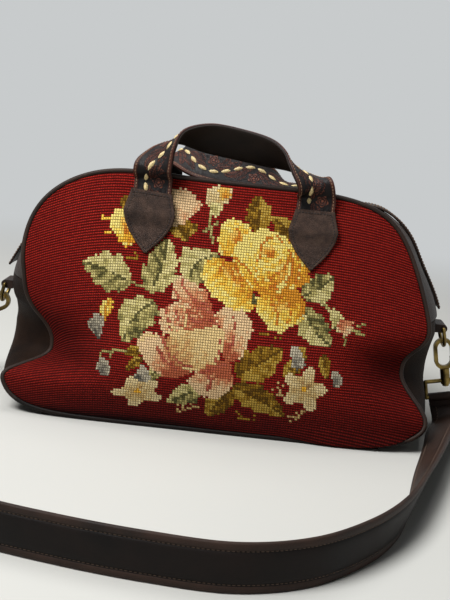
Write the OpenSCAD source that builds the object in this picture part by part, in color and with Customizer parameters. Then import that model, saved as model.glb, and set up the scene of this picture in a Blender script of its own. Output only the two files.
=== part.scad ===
/* [Bag body] */
// Width of the front panel between its side seams
panel_w = 428; // [390:1:460]
// Height of the front panel's top seam above the floor
top_z = 242; // [220:1:265]
// How much lower the back panel's top seam stands
back_drop = 10; // [0:1:14]
// Depth of the bag between the two bottom seams
base_depth = 206; // [180:1:220]
// Depth of the bag between the two top seams
top_depth = 92; // [80:1:110]
// How far each panel swells out of its seam
bulge = 20; // [10:1:28]
// How far the belly of each panel sags out low down
belly = 12; // [4:1:18]
// Inward fold of the left side seam
left_fold = 45; // [36:1:48]
// Inward fold of the right side seam
right_fold = 28; // [20:1:32]
// Backward dent of the panels at the left fold
left_dent = 28; // [16:1:30]
// Backward dent of the panels at the right fold
right_dent = 18; // [10:1:22]
// Flare of the right foot corner below its fold
right_flare = 8; // [4:1:10]
// Rise of the top seam over the left shoulder
left_rise = 6; // [0:1:8]
// Slope of the bag's right shoulder
right_slope = 33; // [24:1:36]
// Slope of the bag's left shoulder
left_slope = 11; // [6:1:16]
// How far the side gussets swell out past the panels
side_swell = 14; // [10:1:20]
// Thickness of the needlepoint panels with their backing
panel_t = 3; // [2:0.25:4]
// Thickness of the leather
leather_t = 2.4; // [1.8:0.1:3]
// Thickness of the base plate
base_t = 3; // [2.5:0.25:4]
// Radius of the piping round each panel
bead_r = 2.4; // [2:0.1:3]

/* [Zip] */
// Half length of the straight run of the zip
zip_half = 125; // [110:1:130]
// Depth of the zip under the top seam
zip_sink = 12; // [11:1:16]
// Width of the slot between the two top strips
zip_slot = 21; // [18:1:24]
// Width of the meshed zip chain
chain_w = 6; // [5:0.25:7]
// Thickness of the meshed zip chain
chain_t = 2.4; // [2:0.1:3]
// Pitch of the zip teeth
tooth_pitch = 2.5; // [2:0.25:3]
// Thickness of the zip tape
tape_t = 0.8; // [0.6:0.1:1.2]
// Length of the slider
slider_l = 16; // [14:0.5:20]
// Width of the slider
slider_w = 11; // [10:0.5:13]
// Thickness of the slider's plates
slider_t = 1.8; // [1.4:0.1:2.2]
// Length of the zip pull
pull_l = 30; // [24:1:36]
// Width of the zip pull
pull_w = 9; // [8:0.5:11]
// Width of the leather tabs over the zip ends
zip_tab_w = 28; // [24:1:32]
// Lift of the left tab's lower end off the gusset
left_tab_lift = 5; // [2:0.5:6]
// Lift of the right tab's lower end off the gusset
right_tab_lift = 1.2; // [0.6:0.2:3]

/* [Handles] */
// Width of the belt handles
belt_w = 38; // [30:1:42]
// Thickness of the tooled outer belt
belt_t = 2.6; // [2:0.1:3.2]
// Thickness of the belt lining
lining_t = 1.6; // [1.2:0.1:2]
// Distance of each handle leg from the bag's middle
leg_x = 83; // [74:1:90]
// Offset of the handles from the bag's middle
handle_shift = 3; // [-4:1:4]
// Width of the sewn end pieces
chape_w = 53; // [48:1:56]
// Length of the sewn end pieces
chape_l = 56; // [52:1:64]
// Distance of the end pieces' tops from the top seam
chape_top = 18; // [14:1:24]
// Length of belt held under each end piece
belt_hold = 14; // [10:1:18]

/* [Strap hardware] */
// Height of the ring bars above the floor
ring_z = 110; // [104:1:114]
// Wire radius of the D-rings
ring_wire = 2; // [1.6:0.1:2.4]
// Radius of the D-rings' round end
ring_r = 15; // [14:0.5:17]
// Length of the D-rings' straight sides
ring_leg = 6; // [4:0.5:9]
// Lean of the hanging rings away from the bag
ring_lean = 14; // [10:1:18]
// Width of the leather loops that hold the rings
loop_w = 25; // [20:1:26]
// Reach of the loops from the gusset to the ring bar
loop_reach = 8.5; // [7.5:0.5:11]
// Inner radius of the snap hooks
hook_r = 6.5; // [6:0.25:7.5]
// Length of the straight part of the hook eye
hook_straight = 14; // [12:0.5:18]
// Wall of the hook
hook_wall = 4; // [3.5:0.25:4.5]
// Thickness of the hook
hook_t = 5; // [4.5:0.25:6]
// Slant of the left hook from upright
left_slant = 62; // [50:1:66]
// Slant of the right hook from upright
right_slant = 12; // [10:1:16]
// Width of the shoulder strap
strap_w = 38; // [34:1:42]
// Thickness of the shoulder strap
strap_t = 5; // [4:0.25:6]
// Wire radius of the swivel eyes
eye_wire = 2.2; // [1.8:0.1:2.4]
// Length of the folded strap ends below the eye bars
fold_l = 10; // [8:0.5:12]

/* [Hidden] */

clearance = 0.3;
running = 0.05;
overrun = 1;
half_w = panel_w / 2;
seam_z = 2 * bead_r;
foot_z = clearance;
zip_z = top_z - zip_sink;
panel_len = norm([top_z - seam_z, (base_depth - top_depth) / 2]);
// Spans of the rim angle with their steps: close at the side folds, wide along the top and the foot.
rim_spans = [[-52, -6, 18], [-6, 40, 8], [40, 140, 12], [140, 186, 8], [186, 232, 18], [232, 308, 8]];
ring_shares = [0.34, 0.62, 0.82, 0.94, 1];
shoulder_power = 3.6;
foot_power = 7;
fold_share = 0.252;
fold_low_share = 0.085;
fold_high_share = 0.2;
right_share = 0.292;
right_low_share = 0.125;
right_high_share = 0.125;
cross_power = 2.3;
step_share = 0.004;
leather_dark = [0.24, 0.19, 0.16];
needle_red = [0.55, 0.12, 0.1];
tooled = [0.34, 0.2, 0.14];
suede = [0.25, 0.2, 0.17];
brass = [0.45, 0.38, 0.2];
tape_dark = [0.13, 0.11, 0.1];

function mix(a, b, s) = a + (b - a) * s;
function unit(v) = v / norm(v);
function side_of(x) = x < 0 ? -1 : 1;
function ease(x) = let (c = max(0, min(1, x))) c * c * (3 - 2 * c);
function hump(x, c, lo, hi) = exp(-pow((x - c) / (x < c ? lo : hi), 2));
function shelf(x, c, lo, hi, n_lo, n_hi) = exp(-pow(abs(x - c) / (x < c ? lo : hi), x < c ? n_lo : n_hi));
function soft_min(a, b, h) = let (d = b - a)
    d < -h ? b : d > h ? a : b - (d + h) * (d + h) / (4 * h);
function flip_y(p) = [p.x, -p.y, p.z];

// Panel coordinates: u runs from -1 at the left seam to 1 at the right, v from 0 at the foot to 1.
function rim_power(w) = w >= 0 ? shoulder_power : foot_power;
function rim_share(u, v) = let (w = 2 * v - 1, n = rim_power(w))
    pow(pow(abs(u), n) + pow(abs(w), n), 1 / n);
function rim_uv(t) = let (c = cos(t), s = sin(t), n = rim_power(s),
        k = pow(pow(abs(c), n) + pow(abs(s), n), -1 / n))
    [c * k, (1 + s * k) / 2];
function inside_uv(t, share) = let (e = rim_uv(t)) [e.x * share, 0.5 + (e.y - 0.5) * share];
function fold_at(u, v) = u < 0 ? shelf(v, fold_share, fold_low_share, fold_high_share, 3.7, 2)
    : shelf(v, right_share, right_low_share, right_high_share, 2, 2.7);
function slope_at(u, v) = u < 0 ? left_slope * ease((v - 0.38) / 0.2)
    : right_slope * ease((v - 0.3) / 0.66) - right_flare * hump(v, 0.09, 0.08, 0.08);
function panel_point(u, v, back = false) = let (
        r = rim_share(u, v),
        fold = fold_at(u, v),
        pull = (u < 0 ? left_fold : right_fold) * fold + slope_at(u, v),
        swell = bulge * mix(1.15, 0.6, v) + belly * hump(v, 0.2, 0.22, 0.28))
    [half_w * u - side_of(u) * pow(abs(u), 3) * pull,
        -mix(base_depth, top_depth, v) / 2 - (1 - r * r) * swell
            + (u < 0 ? left_dent : right_dent) * fold * ease((abs(u) - 0.35) / 0.65),
        mix(seam_z, top_z - (back ? back_drop : 0), v)
            + left_rise * ease((v - 0.6) / 0.4) * hump(u, -0.6, 0.3, 0.3)];
function panel_normal(u, v, back = false) = unit(cross(
        panel_point(u + step_share, v, back) - panel_point(u - step_share, v, back),
        panel_point(u, v + step_share, back) - panel_point(u, v - step_share, back)));
function panel_off(u, v, back, off) = panel_point(u, v, back) + off * panel_normal(u, v, back);

// The frame along a panel's seam: the point, the panel's normal, the way out of the panel.
function seam_point(t, back) = let (e = rim_uv(t)) panel_point(e.x, e.y, back);
function seam_normal(t, back) = let (e = rim_uv(t)) panel_normal(e.x, e.y, back);
function seam_along(t, back) = unit(seam_point(t + 1, back) - seam_point(t - 1, back));
function seam_out(t, back) = unit(cross(seam_along(t, back), seam_normal(t, back)));
function bead_point(t, back) = seam_point(t, back) + (bead_r + clearance) * seam_out(t, back)
    - panel_t / 2 * seam_normal(t, back);
function gusset_edge(t, back) = bead_point(t, back)
    - (bead_r + clearance) * seam_normal(t, back);

function mid_slope(u, v) = left_slope * ease((v - 0.3) / 0.6)
    + (u < 0 ? 0 : (right_slope / 2 - left_slope) * ease((v - 0.5) / 0.4));

// The gusset runs from one seam over its middle line to the other; q goes from -1 to 1.
function gusset_mid(t) = let (e = rim_uv(t), u = e.x, v = e.y, flank = pow(abs(u), 4))
    [side_of(u) * (half_w * abs(u) + flank * (side_swell + bead_r
            - side_swell / 2 * hump(v, 0.28, 0.12, 0.14) - side_swell * ease((v - 0.48) / 0.3))
            - pow(abs(u), 3) * mid_slope(u, v)),
        max(foot_z, soft_min(mix(seam_z, top_z, v) - 1.6 * seam_z * ease(1 - v / 0.14), zip_z,
            zip_sink / 3))];
function gusset_point(t, q) = let (m = gusset_mid(t), e = gusset_edge(t, q > 0),
        s = pow(abs(q), cross_power))
    [mix(m[0], e.x, s), -q * e.y, max(foot_z, mix(m[1], e.z, s))];
function gusset_normal(t, q) = let (h = step_share, d = 1,
        along = gusset_point(t + d, q) - gusset_point(t - d, q),
        over = gusset_point(t, min(1, q + h)) - gusset_point(t, max(-1, q - h)))
    unit(cross(over, along));
function gusset_off(t, q, off) = gusset_point(t, q) + off * gusset_normal(t, q);
function spread(lo, hi, n) = [for (i = [0 : n]) mix(lo, hi, i / n)];

// A closed skin between two like grids of points.
module slab(outer, inner) {
    ni = len(outer);
    nj = len(outer[0]);
    pts = [for (g = [outer, inner]) for (row = g) for (p = row) p];
    function o(i, j) = i * nj + j;
    function k(i, j) = (ni + i) * nj + j;
    faces = [
        for (i = [0 : ni - 2]) for (j = [0 : nj - 2]) each [
            [o(i, j), o(i, j + 1), o(i + 1, j + 1)], [o(i, j), o(i + 1, j + 1), o(i + 1, j)],
            [k(i, j), k(i + 1, j + 1), k(i, j + 1)], [k(i, j), k(i + 1, j), k(i + 1, j + 1)]],
        for (i = [0 : ni - 2]) let (z = nj - 1) each [
            [o(i, 0), o(i + 1, 0), k(i + 1, 0)], [o(i, 0), k(i + 1, 0), k(i, 0)],
            [o(i, z), k(i, z), k(i + 1, z)], [o(i, z), k(i + 1, z), o(i + 1, z)]],
        for (j = [0 : nj - 2]) let (z = ni - 1) each [
            [o(0, j), k(0, j), k(0, j + 1)], [o(0, j), k(0, j + 1), o(0, j + 1)],
            [o(z, j), o(z, j + 1), k(z, j + 1)], [o(z, j), k(z, j + 1), k(z, j)]]];
    polyhedron(points = pts, faces = faces, convexity = 8);
}

// A tube through closed sections, with capped ends or joined round.
module loft(rings, joined = false) {
    n = len(rings);
    m = len(rings[0]);
    pts = [for (r = rings) for (p = r) p];
    last = joined ? n - 1 : n - 2;
    function at(i, j) = (i % n) * m + j % m;
    sides = [for (i = [0 : last]) for (j = [0 : m - 1]) each [
        [at(i, j), at(i + 1, j + 1), at(i, j + 1)], [at(i, j), at(i + 1, j), at(i + 1, j + 1)]]];
    caps = joined ? [] : [[for (j = [0 : m - 1]) j], [for (j = [m - 1 : -1 : 0]) (n - 1) * m + j]];
    polyhedron(points = pts, faces = concat(sides, caps), convexity = 8);
}

// A dished sheet from rings about a middle point.
module dish(outer, inner, outer_mid, inner_mid) {
    n = len(outer);
    m = len(outer[0]);
    pts = concat([outer_mid, inner_mid], [for (g = [outer, inner]) for (r = g) for (p = r) p]);
    function o(i, j) = 2 + i * m + j % m;
    function k(i, j) = 2 + (n + i) * m + j % m;
    faces = [
        for (j = [0 : m - 1]) each [[0, o(0, j + 1), o(0, j)], [1, k(0, j), k(0, j + 1)]],
        for (i = [0 : n - 2]) for (j = [0 : m - 1]) each [
            [o(i, j), o(i, j + 1), o(i + 1, j + 1)], [o(i, j), o(i + 1, j + 1), o(i + 1, j)],
            [k(i, j), k(i + 1, j + 1), k(i, j + 1)], [k(i, j), k(i + 1, j), k(i + 1, j + 1)]],
        for (j = [0 : m - 1]) let (z = n - 1) each [
            [o(z, j), o(z, j + 1), k(z, j + 1)], [o(z, j), k(z, j + 1), k(z, j)]]];
    polyhedron(points = pts, faces = faces, convexity = 8);
}

rim_turns = [for (s = rim_spans) for (i = [0 : s[2] - 1]) mix(s[0], s[1], i / s[2])];
module panel(back) {
    function sheet(off) = [for (s = ring_shares) [for (t = rim_turns) let (e = inside_uv(t, s))
        panel_off(e.x, e.y, back, off)]];
    dish(sheet(0), sheet(-panel_t), panel_off(0, 0.5, back, 0), panel_off(0, 0.5, back, -panel_t));
}

module piping(back) {
    sides = 6;
    loft([for (t = rim_turns) let (c = bead_point(t, back),
            n = seam_normal(t, back), w = seam_out(t, back))
        [for (j = [0 : sides - 1]) let (a = 360 * j / sides) c + bead_r * (cos(a) * n + sin(a) * w)]],
        joined = true);
}

// Gusset pieces run over the rim angle; the top strips stop short of the zip slot.
strip_turn = 2;
base_share = 0.8;
foot_share = base_share + 3 * clearance / half_w;
foot_turn = -atan(pow(1 - pow(foot_share, foot_power), 1 / foot_power) / foot_share);
function slot_share(t) = zip_slot / 2 / abs(gusset_edge(t, false).y);
module gusset_piece(t0, t1, q0, q1, nq) {
    inner = [for (t = rim_turns) if (t > t0 + turn_gap && t < t1 - turn_gap) t];
    ts = concat([t1], [for (i = [len(inner) - 1 : -1 : 0]) inner[i]], [t0]);
    qs = spread(q0, q1, nq);
    slab([for (t = ts) [for (q = qs) gusset_off(t, q, 0)]],
        [for (t = ts) [for (q = qs) gusset_off(t, q, -leather_t)]]);
}
module strip_piece(sign) {
    ts = spread(180 - strip_turn, strip_turn, 34);
    function qs(t) = let (a = slot_share(t))
        sign < 0 ? spread(-1, -a, 3) : spread(a, 1, 3);
    slab([for (t = ts) [for (q = qs(t)) gusset_off(t, q, 0)]],
        [for (t = ts) [for (q = qs(t)) gusset_off(t, q, -leather_t)]]);
}
turn_gap = 0.4;

// The base plate lies flat inside the two bottom seams and between the gussets' feet.
base_edge = abs(bead_point(270, false).y) - bead_r - clearance;
base_gap = leather_t + clearance;
function base_side(t, way) = [for (q = spread(-way, way, 8)) let (g = gusset_point(t, q))
    [g.x - side_of(g.x) * base_gap, max(-base_edge, min(base_edge, g.y))]];
function base_long(way) = [for (x = [way, -way]) [x * half_w / 2, way * base_edge]];

// Belt handles follow hand-chosen frames: place of the belt's middle and the way across it.
function curve(p, s) = let (n = len(p) - 1, x = max(0, min(n - 0.0001, s)), i = floor(x), f = x - i,
        a = p[max(0, i - 1)], b = p[i], c = p[i + 1], d = p[min(n, i + 2)])
    b + 0.5 * f * (c - a + f * (2 * a - 5 * b + 4 * c - d + f * (3 * (b - c) + d - a)));
function belt_frame(places, ways, s) = let (h = 0.02, c = curve(places, s),
        t = unit(curve(places, s + h) - curve(places, s - h)),
        w0 = curve(ways, s), w = unit(w0 - (w0 * t) * t))
    [c, w, cross(w, t)];
belt_seat = 2 * clearance + lining_t;
function flat_u(x) = x / half_w;
function flat_v(down) = 1 - down / panel_len;
function leg_place(x, down, back, off) = let (p = panel_off(flat_u(x), flat_v(down), back, off))
    back ? flip_y(p) : p;
front_peak = 46;
// Shares of leg_x across, of half the top depth forward and of front_peak above the top seam.
front_path_shares = [[-1, -1.28, 0.24], [-0.9, -1.08, 0.62], [-0.7, -0.88, 0.93], [-0.36, -0.72, 0.94],
    [0.02, -0.66, 0.86], [0.34, -0.7, 0.76], [0.58, -0.82, 0.62], [0.76, -1.04, 0.42],
    [0.92, -1.27, 0.2]];
front_way_shares = [[1, -0.1, 0], [0.72, -0.7, 0.1], [0.25, -0.9, 0.4], [0, -0.62, 0.78],
    [0, -0.58, 0.82], [-0.05, -0.64, 0.76], [-0.2, -0.8, 0.5], [-0.5, -0.8, 0.15],
    [-0.9, -0.3, 0]];
back_peak = 20;
back_path_shares = [[-1, 1.26, 0.15], [-0.94, 1.12, 0.7], [-0.8, 0.84, 1], [-0.5, 0.58, 0.72],
    [-0.1, 0.5, 0.48], [0.2, 0.5, 0.34], [0.46, 0.54, 0.12], [0.68, 0.72, -0.08],
    [0.86, 1, -0.1], [0.97, 1.24, -0.2]];
back_way_shares = [[1, 0.1, 0], [0.75, 0.6, 0.1], [0.3, 0.8, 0.5], [0, 0.55, 0.83],
    [0, 0.5, 0.86], [0, 0.58, 0.8], [-0.05, 0.8, 0.55], [-0.2, 0.97, 0.1],
    [-0.6, 0.8, -0.05], [-0.95, 0.25, 0]];
hold_down = chape_top + belt_hold;
clear_seat = bead_r + belt_seat;
left_leg = handle_shift - leg_x;
right_leg = handle_shift + leg_x;
function free_places(shares, peak) = [for (p = shares)
    [handle_shift + p.x * leg_x, p.y * top_depth / 2, top_z + p.z * peak]];
function leg_way(x, down, back) = let (u = flat_u(x), v = flat_v(down),
        d = unit(panel_point(u + step_share, v, back) - panel_point(u - step_share, v, back)))
    (x < 0 ? 1 : -1) * (back ? flip_y(d) : d);
function belt_places(back) = concat(
    [leg_place(left_leg, hold_down, back, belt_seat), leg_place(left_leg, chape_top, back, belt_seat),
        leg_place(left_leg, chape_top / 3, back, clear_seat)],
    free_places(back ? back_path_shares : front_path_shares, back ? back_peak : front_peak),
    [leg_place(right_leg, chape_top / 3, back, clear_seat),
        leg_place(right_leg, chape_top, back, belt_seat),
        leg_place(right_leg, hold_down, back, belt_seat)]);
function belt_ways(back) = concat(
    [for (d = [hold_down, chape_top, chape_top / 3]) leg_way(left_leg, d, back)],
    back ? back_way_shares : front_way_shares,
    [for (d = [chape_top / 3, chape_top, hold_down]) leg_way(right_leg, d, back)]);
module belt(back, lo, hi) {
    places = belt_places(back);
    ways = belt_ways(back);
    steps = 40;
    across = [-1, 0, 1];
    low = back ? -hi : lo;
    high = back ? -lo : hi;
    frames = [for (i = [0 : steps]) belt_frame(places, ways, (len(places) - 1) * i / steps)];
    function sheet(off) = [for (f = frames) [for (q = across)
        f[0] + off * f[2] + q * belt_w / 2 * f[1]]];
    slab(sheet(low), sheet(high));
}

// Sewn end pieces: half width along their length, as a share of the widest.
chape_shares = [[0, 0.8], [0.1, 0.84], [0.36, 1], [0.5, 0.93], [0.68, 0.7], [0.84, 0.4], [0.95, 0.16],
    [1, 0.06]];
chape_row_shares = [0, 0.1, 0.2, 0.3, 0.36, 0.5, 0.68, 0.84, 0.95, 1];
module chape(x, back) {
    over = belt_seat + belt_t + 2 * clearance;
    ps = chape_row_shares;
    qs = [-1, -0.5, 0, 0.5, 1];
    function lift(p) = mix(over, clearance, ease((p - (belt_hold + 2 * belt_t) / chape_l) / 0.26));
    function point(p, q, off) = let (a = x + q * lookup(p, chape_shares) * chape_w / 2,
            e = panel_off(flat_u(a), flat_v(chape_top + p * chape_l), back, lift(p) + off))
        back ? flip_y(e) : e;
    rows = back ? [for (i = [len(ps) - 1 : -1 : 0]) ps[i]] : ps;
    slab([for (p = rows) [for (q = qs) point(p, -q, belt_t)]],
        [for (p = rows) [for (q = qs) point(p, -q, 0)]]);
}

// Leather tabs over the zip ends follow the gusset and lift off it at their lower ends.
tab_turn = strip_turn + 1.5;
tab_share = 1.02 * zip_half / half_w;
tab_start = atan(pow(1 - pow(tab_share, shoulder_power), 1 / shoulder_power) / tab_share);
module zip_tab(sign) {
    ts = spread(tab_start, tab_turn, 11);
    qs = spread(-1, 1, 4);
    function turn(t) = sign > 0 ? t : 180 - t;
    peak = sign < 0 ? left_tab_lift : right_tab_lift;
    function lift(t) = 3 * clearance + peak * pow(1 - (t - tab_turn) / (tab_start - tab_turn), 6);
    function point(t, q, off) = let (w = turn(t), h = zip_tab_w / 2 / abs(gusset_edge(w, false).y))
        gusset_off(w, q * h, lift(t) + off);
    rows = sign > 0 ? ts : [for (i = [len(ts) - 1 : -1 : 0]) ts[i]];
    slab([for (t = rows) [for (q = qs) point(t, q, leather_t)]],
        [for (t = rows) [for (q = qs) point(t, q, 0)]]);
}

// Zip: straight chain and tapes sunk between the strips.
tape_top = zip_z - leather_t - clearance;
chain_mid = tape_top - tape_t / 2;
module zip_tape_piece(sign) {
    inner = chain_w / 2 + running;
    wide = zip_slot / 2 + leather_t - inner;
    translate([-zip_half, sign > 0 ? inner : -inner - wide, tape_top - tape_t])
        cube([2 * zip_half, wide, tape_t]);
}
teeth = floor(2 * zip_half / tooth_pitch);
module chain_shape() {
    half = chain_w / 2;
    dip = tooth_pitch / 4;
    x0 = -teeth * tooth_pitch / 2;
    edge = [for (i = [0 : teeth - 1]) let (x = x0 + i * tooth_pitch) each [
        [x, half - dip], [x + dip, half], [x + 2 * dip, half], [x + 3 * dip, half - dip]]];
    polygon(concat(edge, [for (i = [len(edge) - 1 : -1 : 0]) [edge[i].x, -edge[i].y]]));
}
slider_x = zip_half - slider_l;
pull_pin = 1;
crown_h = pull_pin * 4.4;
crown_l = pull_pin * 3.4;
plate_lo = chain_mid + chain_t / 2 + clearance;
pin_z = plate_lo + slider_t + crown_h;
ear_t = 1.6;

// Ring, hook and eye: the frame of each hook has its ring wire at the origin and its eye below.
function ring_height_turn(z) = let (v = (z - seam_z) / (top_z - seam_z), w = 2 * v - 1)
    asin(max(-1, min(1, w)));
loop_turn = ring_height_turn(ring_z);
loop_half = ring_wire + running + leather_t;
loop_turns = [ring_height_turn(ring_z - loop_half), loop_turn, ring_height_turn(ring_z + loop_half)];
wall_x = max([for (t = loop_turns) max(gusset_mid(t)[0], -gusset_mid(180 - t)[0])]);
ring_x = wall_x + loop_reach;
ring_drop = ring_leg + ring_r;
wire_x = ring_x + ring_drop * sin(ring_lean);
wire_z = ring_z - ring_drop * cos(ring_lean);
wire_room = 1.6;
play_up = hook_r - ring_wire - wire_room;
eye_top = hook_r + hook_wall;
barrel_l = 10;
barrel_r = hook_t;
post_r = ring_wire;
hub_l = 7;
head_l = 2;
head_r = post_r * 1.8;
claw_low = -hook_straight - eye_top;
hub_top = claw_low + overrun - barrel_l;
hub_low = hub_top - clearance - hub_l;
eye_mid = hub_top - clearance - hub_l / 2;
eye_half = strap_w / 2 + eye_wire + 2 * clearance;
eye_drop = 18;
strap_bar = eye_mid - eye_drop;
gate_x = hook_r + hook_wall / 2;
gate_rise = 1;
gate_z = -hook_straight + gate_rise;
gate_pin_r = 0.9;
gate_foot = gate_pin_r * 2.1;
gate_l = hook_straight;
gate_plate = hook_t * 0.42;
gate_bar = hook_t * 0.8;
module at_hook(sign) {
    slant = sign < 0 ? left_slant : right_slant;
    translate([sign * wire_x, 0, wire_z])
        rotate([0, -sign * slant, 0])
            scale([sign, 1, 1])
                translate([0, 0, -play_up])
                    children();
}
function hook_place(sign, p) = let (a = sign < 0 ? left_slant : right_slant, z = p.z - play_up)
    [sign * (wire_x + p.x * cos(a) - z * sin(a)), p.y, wire_z + z * cos(a) + p.x * sin(a)];

module eye_shape(r) {
    circle(r = r, $fn = 48);
    translate([0, -hook_straight])
        circle(r = r, $fn = 48);
    translate([-r, -hook_straight])
        square([2 * r, hook_straight]);
}
module flat_xz(t) {
    rotate([90, 0, 0])
        linear_extrude(t, center = true)
            children();
}
module flat_yz(w) {
    translate([0, 0, strap_bar])
        rotate([90, 0, 90])
            linear_extrude(w, center = true)
                children();
}
module claw() {
    difference() {
        union() {
            flat_xz(hook_t)
                difference() {
                    eye_shape(eye_top);
                    eye_shape(hook_r);
                    translate([hook_r - overrun, gate_z + gate_foot + clearance])
                        square([hook_wall + 2 * overrun, gate_l - hook_wall / 2]);
                }
            translate([0, 0, hub_top])
                cylinder(r = barrel_r, h = barrel_l, $fn = 48);
            translate([0, 0, hub_low - clearance - head_l])
                cylinder(r = post_r, h = hub_l + 3 * clearance + head_l, $fn = 48);
            translate([0, 0, hub_low - clearance - head_l])
                cylinder(r = head_r, h = head_l, $fn = 48);
        }
        flat_xz(hook_t + 2 * overrun)
            eye_shape(hook_r);
        translate([gate_x, 0, gate_z])
            cube([hook_wall * 2, gate_plate + 2 * clearance, 2 * (gate_foot + clearance)], center = true);
        translate([gate_x, 0, gate_z])
            rotate([90, 0, 0])
                cylinder(r = gate_pin_r, h = hook_t + 2 * overrun, center = true, $fn = 32);
    }
}
module gate_lever() {
    lift = gate_foot + 2 * clearance;
    reach = gate_l - hook_wall / 2 + gate_foot;
    difference() {
        union() {
            translate([0, 0, lift / 2])
                cube([gate_foot * 1.5, gate_plate, lift + overrun], center = true);
            rotate([90, 0, 0])
                cylinder(r = gate_foot * 0.75, h = gate_plate, center = true, $fn = 32);
            translate([0, 0, (lift + reach) / 2])
                cube([gate_foot * 1.5, gate_bar, reach - lift - clearance], center = true);
            translate([gate_foot * 0.75, 0, gate_l * 0.5])
                rotate([0, 90, 0])
                    cylinder(r1 = gate_foot, r2 = gate_foot * 0.9, h = hook_wall * 0.8, $fn = 32);
        }
        rotate([90, 0, 0])
            cylinder(r = gate_pin_r + running, h = hook_t + overrun, center = true, $fn = 32);
    }
}
module swivel_eye_shape() {
    bore = post_r + running;
    hub_r = barrel_r;
    leg = eye_half;
    difference() {
        union() {
            translate([0, 0, hub_low])
                cylinder(r = hub_r, h = hub_l, $fn = 48);
            for (s = [-1, 1]) {
                translate([s * hub_r * 0.7, 0, eye_mid])
                    rotate([0, s * 90, 0])
                        cylinder(r = eye_wire, h = leg - hub_r * 0.7, $fn = 32);
                translate([s * leg, 0, eye_mid])
                    sphere(r = eye_wire, $fn = 32);
                translate([s * leg, 0, strap_bar])
                    cylinder(r = eye_wire, h = eye_drop, $fn = 32);
                translate([s * leg, 0, strap_bar])
                    sphere(r = eye_wire, $fn = 32);
            }
            translate([-leg, 0, strap_bar])
                rotate([0, 90, 0])
                    cylinder(r = eye_wire, h = 2 * leg, $fn = 32);
        }
        translate([0, 0, hub_low - overrun])
            cylinder(r = bore, h = hub_l + 2 * overrun, $fn = 48);
    }
}
module d_ring(sign) {
    translate([sign * ring_x, 0, ring_z])
        rotate([0, -sign * ring_lean, 0]) {
            rotate([90, 0, 0])
                cylinder(r = ring_wire, h = 2 * ring_r, center = true, $fn = 48);
            for (s = [-1, 1]) {
                translate([0, s * ring_r, 0])
                    sphere(r = ring_wire, $fn = 48);
                translate([0, s * ring_r, -ring_leg])
                    cylinder(r = ring_wire, h = ring_leg, $fn = 48);
            }
            translate([0, 0, -ring_leg])
                rotate([0, 90, 0])
                    rotate([0, 0, -90])
                        rotate_extrude(angle = 180, $fn = 96)
                            translate([ring_r, 0])
                                circle(r = ring_wire, $fn = 48);
        }
}
module ring_loop(sign) {
    bore = ring_wire + running;
    skin = bore + leather_t;
    root_h = 2 * skin;
    translate([sign * ring_x, 0, ring_z])
        rotate([90, 0, 0])
            linear_extrude(loop_w, center = true)
                difference() {
                    union() {
                        circle(r = skin, $fn = 48);
                        translate([sign > 0 ? -loop_reach + clearance : 0, -root_h / 2])
                            square([loop_reach - clearance, root_h]);
                    }
                    circle(r = bore, $fn = 48);
                }
}

// Shoulder strap: the route on the floor is chosen by hand; its ends hang from the swivel eyes.
strap_half = strap_w / 2;
end_gap = fold_l + clearance;
function end_place(sign) = hook_place(sign, [0, 0, strap_bar - end_gap]);
function end_way(sign) = hook_place(sign, [1, 0, 0]) - hook_place(sign, [0, 0, 0]);
function end_frame(sign) = let (w = end_way(sign), t = sign * unit(end_place(sign) - hook_place(sign, [0, 0, 0])))
    [end_place(sign), w, cross(w, t)];
strap_low = strap_half + clearance;
strap_route = [[256, -16, 12.5], [244, -44, 13.5], [230, -92, 15.5], [208, -164, 17.5], [186, -236, 19],
    [165, -290, strap_low], [136, -334, strap_low], [92, -374, strap_low], [38, -394, strap_low],
    [-24, -392, strap_low], [-90, -382, strap_low], [-154, -366, strap_low], [-214, -338, strap_low],
    [-266, -298, strap_low], [-306, -244, strap_low], [-332, -180, strap_low], [-342, -115, strap_low],
    [-339, -58, 22], [-326, -16, 38]];
strap_way_shares = [[0.95, 0, 0.34], [0.85, 0, 0.53], [0.72, 0, 0.7], [0.6, 0, 0.8], [0.36, 0.1, 0.92],
    [0.2, 0.1, 0.97], [0.05, 0, 1]];
strap_turn_shares = [[-0.05, 0, 1], [-0.2, 0, 0.97]];
module strap_end_shape() {
    bore = eye_wire + running;
    flat_yz(strap_w)
        difference() {
            union() {
                circle(r = bore + strap_t / 2, $fn = 48);
                translate([-strap_t / 2, -fold_l])
                    square([strap_t, fold_l]);
            }
            circle(r = bore, $fn = 48);
        }
}
module strap_shape() {
    places = concat([end_place(1)], strap_route, [end_place(-1)]);
    n = len(places);
    plain = len(strap_route) - len(strap_way_shares) - len(strap_turn_shares);
    ways = concat([end_way(1)], strap_way_shares, [for (i = [1 : plain]) [0, 0, 1]], strap_turn_shares,
        [end_way(-1)]);
    steps = 72;
    chamfer = strap_t / 4;
    h = strap_half;
    frames = concat([end_frame(1)], [for (i = [2 : steps - 2]) belt_frame(places, ways, (n - 1) * i / steps)],
        [end_frame(-1)]);
    loft([for (f = frames) let (c = f[0], w = f[1], d = f[2], a = strap_t / 2)
        [c + a * d - (h - chamfer) * w, c + a * d + (h - chamfer) * w, c + (a - chamfer) * d + h * w,
            c - (a - chamfer) * d + h * w, c - a * d + (h - chamfer) * w, c - a * d - (h - chamfer) * w,
            c - (a - chamfer) * d - h * w, c + (a - chamfer) * d - h * w]]);
}

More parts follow.
